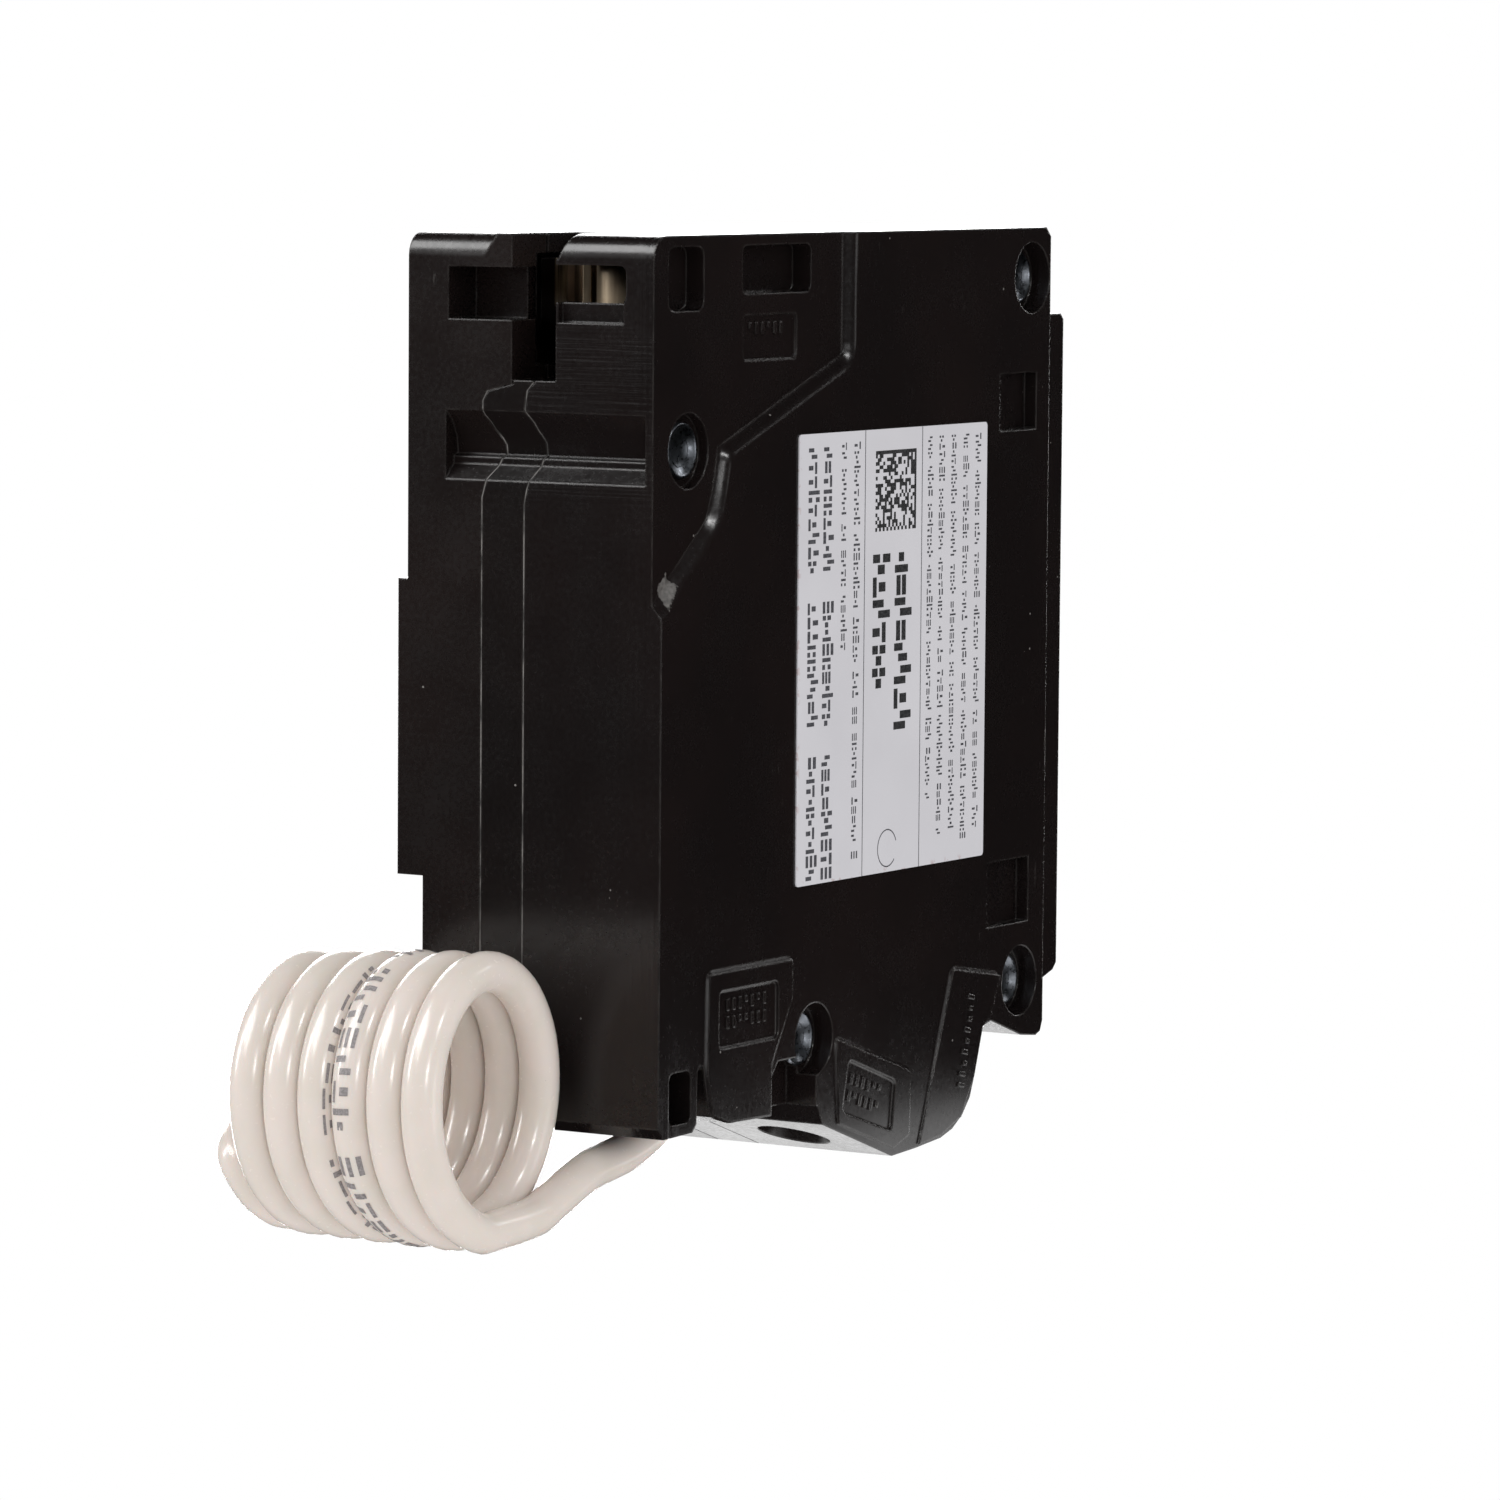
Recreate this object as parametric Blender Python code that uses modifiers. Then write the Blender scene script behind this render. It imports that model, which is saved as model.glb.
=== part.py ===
"""A one-inch plug-on circuit breaker with ground-fault protection, as separate pieces.

Axes: +X out of the labelled side, +Y out of the front, where the handle is, and +Z towards
the line end. The origin is at the middle of the width, on the back face, level with the
underside of the rail foot. Sizes are in millimetres, and MM turns them into metres.
"""

import math

import bmesh
import bpy
from mathutils import Matrix, Vector

MM = 0.001

# Driving dimensions of the moulded case
HALF_WIDTH = 12.5
PAD_RISE = 0.2
HEIGHT = 72.0
DEPTH = 62.8
NOSE_RISE = 2.9
NOSE_INSET = 0.3
NOSE_BOTTOM = 7.3
NOSE_TOP = 64.5
CORNER = 1.9
EDGE_ROUND = 1.5
WALL = 1.6

# The two planes that part the three shells, and half the gap between shells
NEAR_PARTING = -0.55
FAR_PARTING = -4.6
SEAM = 0.06
LOBE_DEPTH = 5.0

# Pockets of the near shell
CORNER_STEP = 0.9
CAVITY_NEAR = HALF_WIDTH - WALL
JAW_CAVITY_NEAR = 9.3
WEB = (-3.6, -2.1)

# Rivets: depth (Y) and height (Z) of each, and their sizes
RIVETS = [(5.3, 54.85), (59.6, 67.7), (58.6, 7.0), (24.1, 5.6)]
RIVET_RECESS = 3.0
RIVET_HEAD = 2.3
RIVET_SHANK = 1.3
RIVET_HEAD_RISE = 0.8
NEAR_RIVET_FACE = 11.3
FAR_RIVET_FACE = -9.6

# Label
LABEL_Y = (20.8, 51.8)
LABEL_Z = (18.5, 55.6)
LABEL_X = (HALF_WIDTH + 0.04, HALF_WIDTH + 0.14)

# Handle and mechanism, in the near half
HANDLE_PIVOT = (54.0, 38.0)
HANDLE_REST = -22.0
HANDLE_X = (0.3, 5.7)
HUB_RADIUS = 6.2
LEVER_REACH = 20.5
ARM_PIVOT = (44.0, 41.0)
ARM_REST = 164.0
ARM_CLOSED = 146.0
ARM_X = (2.2, 4.4)
CONTACT_REACH = 25.0
CRADLE_PIVOT = (40.0, 16.0)
CRADLE_X = (3.0, 5.0)
ARMATURE_HINGE = (24.1, 39.6)

# Terminals: each screw faces the front, and each wire hole faces the load end
NEUTRAL_X = 6.2
NEUTRAL_SCREW_Z = 1.6
NEUTRAL_LUG = ((3.3, 9.1), (28.3, 35.2), (-0.6, 5.6))
NEUTRAL_WIRE_Y = 31.5
POWER_X = -7.75
POWER_SCREW_Z = -0.2
POWER_LUG = ((-10.65, -4.85), (38.9, 46.0), (-2.6, 4.4))
POWER_WIRE_Y = 42.2
LUG_WALL = 0.75
WIRE_HOLE = 3.1
DRIVER_HOLE = 3.0

# Electronics, in the far half
BUTTON_X = -7.8
BUTTON_Z = 50.0
LAMP_Z = 59.5
PLUNGER_X = -7.5
PLUNGER_Z = 27.0
SENSOR = (36.0, 13.0)

# Neutral lead: a straight stretch and a close coil behind the breaker
WIRE_RADIUS = 1.65
LEAD_HOLE = 2.4
COIL_CENTRE = (-12.6, 3.85)
COIL_RADIUS = 10.0
COIL_X = (-20.0, 7.25)
BARE_END = [(-18.5, -13.6, 3.3), (-18.6, -6.0, 3.9)]
BARE_RADIUS = 1.03
LEAD_ROUTE = [
    (5.9, 15.4, 3.8),
    (5.9, 13.2, 1.7),
    (5.9, 11.0, 0.1),
    (5.8, 8.4, -1.2),
    (5.6, 5.4, -2.1),
    (5.4, 2.4, -2.7),
    (5.2, -0.6, -3.25),
]

MOULDED_BLACK = ("moulded_black", (0.012, 0.011, 0.012), 0.28, 0.0)
RIVET_ZINC = ("rivet_zinc", (0.55, 0.58, 0.62), 0.3, 1.0)
LABEL_WHITE = ("label_white", (0.80, 0.80, 0.82), 0.5, 0.0)
HANDLE_BLACK = ("handle_black", (0.02, 0.02, 0.02), 0.35, 0.0)
BUTTON_YELLOW = ("button_yellow", (0.75, 0.60, 0.12), 0.4, 0.0)
LENS_RED = ("lens_red", (0.6, 0.05, 0.04), 0.15, 0.0)
TINNED_COPPER = ("tinned_copper", (0.72, 0.60, 0.46), 0.3, 1.0)
COPPER = ("copper", (0.72, 0.38, 0.24), 0.3, 1.0)
SPRING_STEEL = ("spring_steel", (0.50, 0.50, 0.50), 0.3, 1.0)
PLATED_STEEL = ("plated_steel", (0.60, 0.58, 0.52), 0.35, 1.0)
SILVER = ("silver", (0.80, 0.79, 0.76), 0.25, 1.0)
BOARD_GREEN = ("board_green", (0.03, 0.20, 0.08), 0.45, 0.0)
CHIP_BLACK = ("chip_black", (0.02, 0.02, 0.02), 0.5, 0.0)
DISC_BLUE = ("disc_blue", (0.06, 0.15, 0.45), 0.45, 0.0)
FIBRE_BROWN = ("fibre_brown", (0.33, 0.20, 0.11), 0.7, 0.0)
WIRE_WHITE = ("wire_white", (0.80, 0.76, 0.72), 0.35, 0.0)


# ---- Scene, materials and Boolean helpers ----


def clear_scene():
    for item in list(bpy.data.objects):
        bpy.data.objects.remove(item)


def new_collection(name):
    made = bpy.data.collections.new(name)
    bpy.context.scene.collection.children.link(made)
    return made


clear_scene()
PARTS = new_collection("circuit_breaker")
CUTTERS = new_collection("cutters")


def part(item, look):
    """Puts the object with the parts and gives it its own material."""
    name, colour, roughness, metallic = look
    made = bpy.data.materials.new(item.name + "_" + name)
    made.use_nodes = True
    shader = made.node_tree.nodes["Principled BSDF"]
    shader.inputs["Base Color"].default_value = (*colour, 1.0)
    shader.inputs["Roughness"].default_value = roughness
    shader.inputs["Metallic"].default_value = metallic
    item.data.materials.append(made)
    PARTS.objects.link(item)
    return item


def helper(item):
    CUTTERS.objects.link(item)
    item.hide_render = True
    item.display_type = "WIRE"
    return item


def boolean(target, other, operation):
    step = target.modifiers.new(other.name, "BOOLEAN")
    step.operation = operation
    step.solver = "EXACT"
    step.object = helper(other)


def cut(target, *others):
    for other in others:
        boolean(target, other, "DIFFERENCE")


def fuse(target, *others):
    for other in others:
        boolean(target, other, "UNION")


# ---- Shape makers: each returns an object that is not yet linked ----


def from_bmesh(name, shape):
    bmesh.ops.recalc_face_normals(shape, faces=shape.faces)
    mesh = bpy.data.meshes.new(name)
    shape.to_mesh(mesh)
    shape.free()
    return bpy.data.objects.new(name, mesh)


def baked(item, name, matrix=None):
    """A mesh object of the item's evaluated shape, welded, with its flat faces merged."""
    bpy.context.scene.collection.objects.link(item)
    graph = bpy.context.evaluated_depsgraph_get()
    mesh = bpy.data.meshes.new_from_object(item.evaluated_get(graph))
    shape = bmesh.new()
    shape.from_mesh(mesh)
    bmesh.ops.remove_doubles(shape, verts=shape.verts, dist=1e-6)
    bmesh.ops.dissolve_limit(shape, angle_limit=0.002, verts=shape.verts, edges=shape.edges)
    if matrix is not None:
        bmesh.ops.transform(shape, matrix=matrix, verts=shape.verts)
    bpy.data.objects.remove(item)
    bpy.data.meshes.remove(mesh)
    return from_bmesh(name, shape)


def block(name, x, y, z):
    """A box between two limits along each axis."""
    shape = bmesh.new()
    bmesh.ops.create_cube(shape, size=1.0)
    size = Vector((x[1] - x[0], y[1] - y[0], z[1] - z[0])) * MM
    centre = Vector((x[0] + x[1], y[0] + y[1], z[0] + z[1])) * MM / 2
    place = Matrix.Translation(centre) @ Matrix.Diagonal((*size, 1.0))
    bmesh.ops.transform(shape, matrix=place, verts=shape.verts)
    return from_bmesh(name, shape)


# World axes of a flat outline: its first axis, its second axis and the way it is thickened
PLANES = {
    "YZ": (Matrix(((0, 0, 1), (1, 0, 0), (0, 1, 0))), 1),
    "XY": (Matrix.Identity(3), 1),
    "XZ": (Matrix(((1, 0, 0), (0, 0, -1), (0, 1, 0))), -1),
}


def slab(name, outline, span, plane="YZ"):
    """A flat outline thickened over the span, square to its plane."""
    curve = bpy.data.curves.new(name, "CURVE")
    curve.dimensions = "2D"
    curve.fill_mode = "BOTH"
    curve.extrude = (span[1] - span[0]) / 2 * MM
    spline = curve.splines.new("POLY")
    spline.points.add(len(outline) - 1)
    for point, (first, second) in zip(spline.points, outline):
        point.co = (first * MM, second * MM, 0.0, 1.0)
    spline.use_cyclic_u = True
    turn, sign = PLANES[plane]
    middle = Vector((0.0, 0.0, sign * (span[0] + span[1]) / 2 * MM))
    place = turn.to_4x4() @ Matrix.Translation(middle)
    return baked(bpy.data.objects.new(name, curve), name, place)


def facing(axis, centre):
    """The placement that turns local +Z to the axis and puts the origin at the centre."""
    turn = Vector((0, 0, 1)).rotation_difference(Vector(axis)).to_matrix().to_4x4()
    return Matrix.Translation(Vector(centre) * MM) @ turn


def rod(name, start, end, radius, sides=20):
    """A round bar between two points."""
    start = Vector(start)
    end = Vector(end)
    shape = bmesh.new()
    bmesh.ops.create_cone(
        shape,
        cap_ends=True,
        segments=sides,
        radius1=radius * MM,
        radius2=radius * MM,
        depth=(end - start).length * MM,
    )
    place = facing((end - start).normalized(), (start + end) / 2)
    bmesh.ops.transform(shape, matrix=place, verts=shape.verts)
    return from_bmesh(name, shape)


def turned(name, profile, axis, centre, steps=32):
    """A closed profile of (radius, height) points turned about an axis through the centre."""
    mesh = bpy.data.meshes.new(name)
    points = [(radius * MM, 0.0, height * MM) for radius, height in profile]
    pairs = [(index, (index + 1) % len(points)) for index in range(len(points))]
    edges = [(a, b) for a, b in pairs if max(points[a][0], points[b][0]) > 0]
    mesh.from_pydata(points, edges, [])
    item = bpy.data.objects.new(name, mesh)
    screw = item.modifiers.new("turn", "SCREW")
    screw.axis = "Z"
    screw.steps = steps
    screw.render_steps = steps
    screw.use_merge_vertices = True
    screw.merge_threshold = 1e-6
    return baked(item, name, facing(axis, centre))


def tube(name, points, radius, detail=2):
    """A wire: a curve through the points with a round section and filled ends."""
    curve = bpy.data.curves.new(name, "CURVE")
    curve.dimensions = "3D"
    curve.bevel_depth = radius * MM
    curve.bevel_resolution = detail
    curve.use_fill_caps = True
    spline = curve.splines.new("POLY")
    spline.points.add(len(points) - 1)
    for point, place in zip(spline.points, points):
        point.co = (*(Vector(place) * MM), 1.0)
    return bpy.data.objects.new(name, curve)


def arc(centre, radius, start, end, count=6):
    """Points along an arc, its angles in degrees."""
    angles = [math.radians(start + (end - start) * i / count) for i in range(count + 1)]
    return [(centre[0] + radius * math.cos(a), centre[1] + radius * math.sin(a)) for a in angles]


def ribbon(path, thickness):
    """The outline of a strip of even thickness bent along the path."""
    left = []
    right = []
    for index, point in enumerate(path):
        here = Vector(point)
        before = (here - Vector(path[index - 1])).normalized() if index else None
        after = (Vector(path[index + 1]) - here).normalized() if index + 1 < len(path) else None
        ways = [way for way in (before, after) if way is not None]
        way = sum(ways, Vector((0.0, 0.0))).normalized()
        reach = thickness / 2 / max(0.5, way.dot(ways[0]))
        side = Vector((-way.y, way.x)) * reach
        left.append(tuple(here + side))
        right.append(tuple(here - side))
    return left + right[::-1]


def smooth_route(route, steps):
    """Points along a smooth curve through the route's points."""
    ends = [Vector(route[0]) * 2 - Vector(route[1]), Vector(route[-1]) * 2 - Vector(route[-2])]
    knots = [ends[0]] + [Vector(point) for point in route] + [ends[1]]
    points = []
    for index in range(1, len(knots) - 2):
        a, b, c, d = knots[index - 1 : index + 3]
        for step in range(steps):
            t = step / steps
            near = b * 2 + (c - a) * t
            far = (a * 2 - b * 5 + c * 4 - d) * t**2 + (b * 3 - a - c * 3 + d) * t**3
            points.append((near + far) / 2)
    return points + [knots[-2]]


def helix(centre, axis, radius, length, turns, per_turn=9):
    """Points along a spring whose axis runs from the centre."""
    place = facing(axis, (0, 0, 0))
    points = []
    for step in range(turns * per_turn + 1):
        angle = 2 * math.pi * step / per_turn
        height = length * step / (turns * per_turn)
        local = Vector((radius * math.cos(angle), radius * math.sin(angle), height))
        points.append(Vector(centre) + place.to_3x3() @ local)
    return points


def set_axis(item, pivot, turn=0.0):
    """Moves the origin to a point on the joint's axis along X, then turns the object."""
    centre = Vector((0.0, pivot[0], pivot[1])) * MM
    item.data.transform(Matrix.Translation(-centre))
    item.location = centre
    item.rotation_euler.x = math.radians(turn)
    return item


def swung(pivot, angle, along, across):
    """A point given along and across a lever that points at an angle from its pivot."""
    a = math.radians(angle)
    y = pivot[0] + along * math.cos(a) - across * math.sin(a)
    z = pivot[1] + along * math.sin(a) + across * math.cos(a)
    return y, z


# ---- Case ----

NOSE = DEPTH + NOSE_RISE
BODY = (
    [(0.0, 0.9), (0.0, HEIGHT - CORNER)]
    + arc((CORNER, HEIGHT - CORNER), CORNER, 180, 90)[1:]
    + [(DEPTH - 0.8, HEIGHT), (DEPTH, HEIGHT - 0.8), (DEPTH, NOSE_TOP)]
    + [(NOSE - 0.5, NOSE_TOP), (NOSE, NOSE_TOP - 0.5)]
    + [(NOSE, NOSE_BOTTOM + 0.6), (NOSE - 0.6, NOSE_BOTTOM), (DEPTH, NOSE_BOTTOM - 0.7)]
    + [(DEPTH, 3.1), (62.4, 2.2), (61.6, 1.9), (59.0, 2.2), (53.7, 4.0)]
    + [(52.4, 3.7), (51.6, 2.4), (51.0, -0.3), (50.2, -2.2)]
    + [(48.9, -3.6), (47.2, -4.6), (45.2, -5.15), (41.0, -5.5), (37.0, -5.7)]
    + [(25.6, -1.7), (24.8, 0.0), (17.1, 0.0), (10.7, 0.2), (8.0, 1.0)]
    + [(7.1, 4.8), (6.7, 5.3), (6.2, 5.3), (5.9, 4.9), (5.8, 0.7), (5.2, 0.1), (0.8, 0.0)]
)
CAVITY = [
    (2.0, 8.0),
    (2.0, 50.0),
    (8.8, 51.3),
    (8.8, 59.0),
    (13.0, 60.5),
    (13.0, 65.5),
    (26.0, 65.5),
    (26.0, 70.2),
    (55.3, 70.2),
    (55.3, 63.4),
    (61.2, 63.4),
    (61.2, 11.3),
    (54.4, 11.3),
    (54.4, 6.2),
    (49.2, 4.6),
    (48.4, -1.4),
    (46.2, -3.2),
    (38.0, -3.9),
    (28.2, -0.95),
    (27.2, 1.5),
    (27.2, 9.6),
    (20.4, 9.6),
    (20.4, 5.7),
    (15.5, 5.0),
    (10.0, 7.0),
]
JAW_CAVITY_Y = (1.7, 14.0)
JAW_CAVITY_Z = (61.4, 70.4)
LINE_CORNER = [
    (-1.0, 73.0),
    (29.0, 73.0),
    (29.0, 61.9),
    (9.7, 55.0),
    (9.0, 51.8),
    (8.0, 49.2),
    (2.5, 44.9),
    (-1.0, 42.0),
]
PANEL_NEUTRAL_PAD = [
    (7.4, 12.6),
    (20.3, 12.6),
    (20.3, 9.5),
    (17.1, 4.4),
    (17.1, 0.1),
    (10.7, 0.3),
    (8.1, 1.1),
    (7.2, 4.9),
]
LOAD_NEUTRAL_PAD = [(27.6, 5.2), (39.8, 1.2), (39.6, -4.2), (37.0, -5.0), (28.0, -1.9)]
LOAD_POWER_PAD = [
    (46.9, 9.1),
    (55.0, 7.8),
    (53.4, 4.4),
    (52.0, 3.7),
    (50.6, -0.4),
    (48.4, -3.7),
    (45.0, -4.9),
    (41.4, -5.2),
]
RAMPS = {
    "upper_ramp": ((54.0, 60.5), (54.7, 59.6)),
    "lower_ramp": ((52.6, 60.0), (12.1, 17.7)),
}
RAMP_DEPTH = 1.2
LOAD_ARCH = [(17.4, -1.0), (17.4, 3.2), (18.4, 4.4), (23.4, 4.4), (24.5, 3.2), (24.5, -1.0)]
BUS_CHANNEL = [(-1.0, 57.8), (0.0, 57.8), (0.9, 56.9), (1.6, 55.6), (1.8, 54.2)]
BUS_CHANNEL += [(1.2, 54.0), (1.2, 53.4), (0.0, 52.2), (-1.0, 52.2)]
CHANNEL_X = (-8.1, 10.9)
STAB_SLOT_X = (-1.8, 2.4)
STAB_SLOT_Z = (60.3, 73.0)
WINDOW_X = (1.4, 9.0)
WINDOW_Z = (66.6, 69.6)
SLOT_MOUTH = [(2.2, 69.9), (2.6, 70.1), (3.6, 72.4), (2.2, 72.4)]
FLUSH_CORNER = [(-4.6, 69.8), (-1.8, 69.8), (-1.8, HEIGHT), (-3.2, HEIGHT), (-4.6, 70.2)]
RAIL_TOOTH = [(5.4, 2.7), (6.8, 1.9), (5.4, 1.3)]
NEAR_WIGGLE = [(2.1, 61.1), (0.6, 60.5), (-0.3, 59.5), (-0.5, 58.0), (0.0, 56.3), (0.55, 55.2)]
NEAR_WIGGLE += [(0.55, 54.0), (0.1, 52.8), (-0.3, 51.6), (NEAR_PARTING, 50.4)]
FAR_WIGGLE = [(-1.7, 65.1), (-1.7, 60.0), (-4.1, 59.4), (-4.55, 58.6), (-4.55, 57.4)]
FAR_WIGGLE += [(-4.1, 56.3), (-3.3, 55.0), (-3.3, 54.2), (-4.1, 52.5), (FAR_PARTING, 50.8)]


def wiggle_cutter(name, line, shift, side):
    """Clears the back wall on one side of a wavy seam, as far as the lobes reach."""
    edge = [(x + shift, z) for x, z in line]
    far_x = 14.0 * side
    outline = [(edge[0][0], 73.0)] + edge + [(edge[-1][0], -7.0), (far_x, -7.0), (far_x, 73.0)]
    return slab(name, outline, (-1.0, LOBE_DEPTH + 0.3), "XZ")


def plane_cutter(name, plane_x, side):
    """Clears everything behind the lobes on one side of a flat seam."""
    limits = sorted((plane_x, 14.0 * side))
    return block(name, limits, (LOBE_DEPTH, 70.0), (-8.0, 74.0))


def round_outer_edges(item, outer_x):
    """Rounds the long outer edges of a shell along the back, the top and the front."""
    mesh = item.data
    weights = mesh.attributes.new("bevel_weight_edge", "FLOAT", "EDGE")
    for edge in mesh.edges:
        ends = [mesh.vertices[index].co / MM for index in edge.vertices]
        middle = (ends[0] + ends[1]) / 2
        long_edge = (ends[0] - ends[1]).length > 20
        if all(abs(end.x - outer_x) < 0.01 for end in ends) and long_edge:
            weights.data[edge.index].value = 1.0 if middle.y < 1 else 0.35
    bevel = item.modifiers.new("round_edges", "BEVEL")
    bevel.limit_method = "WEIGHT"
    bevel.width = EDGE_ROUND * MM
    bevel.segments = 4


def rivet_holes(name, x):
    return [
        rod(f"{name}_rivet_hole_{i}", (x[0], y, z), (x[1], y, z), RIVET_SHANK + 0.15, 16)
        for i, (y, z) in enumerate(RIVETS)
    ]


def stab_slot(name):
    return block(f"{name}_stab_slot", STAB_SLOT_X, (-1.0, 9.5), STAB_SLOT_Z)


def bus_channel(name):
    return slab(f"{name}_bus_channel", BUS_CHANNEL, CHANNEL_X)


def nose_trim(name, x):
    return block(f"{name}_nose_trim", x, (DEPTH, NOSE + 1), (NOSE_BOTTOM - 1, NOSE_TOP + 1))


def rounded_box(y, z, radius):
    """An outline of a box with round corners."""
    corners = [(y[1], z[1], 0), (y[0], z[1], 90), (y[0], z[0], 180), (y[1], z[0], 270)]
    outline = []
    for corner_y, corner_z, start in corners:
        centre_y = corner_y - radius if corner_y == y[1] else corner_y + radius
        centre_z = corner_z - radius if corner_z == z[1] else corner_z + radius
        outline += arc((centre_y, centre_z), radius, start, start + 90, 3)
    return outline


def wire_hole(name, x, y):
    return rod(name, (x, y, -8.0), (x, y, 0.0), WIRE_HOLE, 24)


def driver_hole(name, x, z, start_y):
    return rod(name, (x, start_y, z), (x, 53.4, z), DRIVER_HOLE, 24)


def make_near_case():
    case = part(slab("near_case", BODY, (-6.0, HALF_WIDTH)), MOULDED_BLACK)
    round_outer_edges(case, HALF_WIDTH)
    cut(
        case,
        slab("line_corner", LINE_CORNER, (HALF_WIDTH - CORNER_STEP, 14.0)),
        plane_cutter("near_seam", NEAR_PARTING + SEAM, -1),
        wiggle_cutter("near_wavy_seam", NEAR_WIGGLE, SEAM, -1),
        slab("near_cavity", CAVITY, (-7.0, CAVITY_NEAR)),
        block("near_jaw_cavity", (-7.0, JAW_CAVITY_NEAR), JAW_CAVITY_Y, JAW_CAVITY_Z),
        stab_slot("near"),
        bus_channel("near"),
        slab("jaw_window", rounded_box(WINDOW_X, WINDOW_Z, 0.6), (-1.0, 3.0), "XZ"),
        block("window_sill", (2.6, WINDOW_X[1] - 0.2), (-1.0, 0.7), (65.0, 66.8)),
        slab("slot_mouth", SLOT_MOUTH, (-1.0, 3.2), "XZ"),
        nose_trim("near", (HALF_WIDTH - NOSE_INSET, 14.0)),
        block("handle_slot", (-0.2, 6.2), (60.0, 70.0), (29.0, 47.0)),
    )
    pads = {
        "panel_neutral_pad": PANEL_NEUTRAL_PAD,
        "load_neutral_pad": LOAD_NEUTRAL_PAD,
        "load_power_pad": LOAD_POWER_PAD,
    }
    for name, outline in pads.items():
        fuse(case, slab(name, outline, (HALF_WIDTH - 1.0, HALF_WIDTH + PAD_RISE)))
    pockets = {
        "jaw_side_pocket": (rounded_box((2.2, 7.5), (66.0, 71.1), 0.8), JAW_CAVITY_NEAR + 0.6),
        "top_pocket": (rounded_box((13.4, 24.1), (67.2, 71.1), 0.6), 9.8),
        "line_frame": (rounded_box((13.6, 21.9), (61.8, 65.5), 0.4), 11.4),
        "foot_pocket": (rounded_box((1.6, 4.9), (1.0, 5.2), 0.6), 9.0),
        "panel_neutral_frame": (rounded_box((9.0, 18.0), (6.5, 11.0), 0.4), HALF_WIDTH),
    }
    for name, (outline, floor) in pockets.items():
        cut(case, slab(name, outline, (floor, 14.0)))
    cut(case, slab("load_arch", LOAD_ARCH, (9.6, 14.0)))
    for name, (y, z) in RAMPS.items():
        floor = HALF_WIDTH - RAMP_DEPTH
        wedge = [(HALF_WIDTH, y[0]), (14.0, y[0]), (14.0, y[1]), (floor, y[1])]
        cut(case, slab(name, wedge, z, "XY"))
    for i, (y, z) in enumerate(RIVETS):
        start = (NEAR_RIVET_FACE, y, z)
        cut(case, rod(f"rivet_recess_{i}", start, (14.0, y, z), RIVET_RECESS, 24))
    cut(case, *rivet_holes("near", (-7.0, 14.0)))
    cut(
        case,
        wire_hole("neutral_wire_hole", NEUTRAL_X, NEUTRAL_WIRE_Y),
        driver_hole("neutral_driver_hole", NEUTRAL_X, NEUTRAL_SCREW_Z, 44.0),
        rod("lead_hole", (5.9, 7.0, -3.9), (5.9, 19.2, 7.3), LEAD_HOLE, 20),
    )


def make_mid_case():
    case = part(slab("mid_case", BODY, (-8.0, 4.0)), MOULDED_BLACK)
    fuse(case, slab("rail_tooth", RAIL_TOOTH, (-7.0, 3.0)))
    cut(
        case,
        plane_cutter("mid_near_seam", NEAR_PARTING - SEAM, 1),
        plane_cutter("mid_far_seam", FAR_PARTING + SEAM, -1),
        wiggle_cutter("mid_near_wavy_seam", NEAR_WIGGLE, -SEAM, 1),
        wiggle_cutter("mid_far_wavy_seam", FAR_WIGGLE, SEAM, -1),
        slab("mid_near_cavity", CAVITY, (WEB[1], 5.0)),
        slab("mid_far_cavity", CAVITY, (-9.0, WEB[0])),
        block("mid_jaw_cavity", (-2.9, 5.0), (3.5, 14.0), JAW_CAVITY_Z),
        stab_slot("mid"),
        bus_channel("mid"),
        block("plunger_slot", (-5.0, 0.0), (23.5, 28.8), (25.2, 28.8)),
        rod("sensor_hole", (-5.0, *SENSOR), (0.0, *SENSOR), 3.2, 20),
        rod("conductor_hole", (-5.0, 19.0, 14.0), (0.0, 19.0, 14.0), 1.6, 16),
    )
    cut(case, *rivet_holes("mid", (-9.0, 5.0)))


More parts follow.
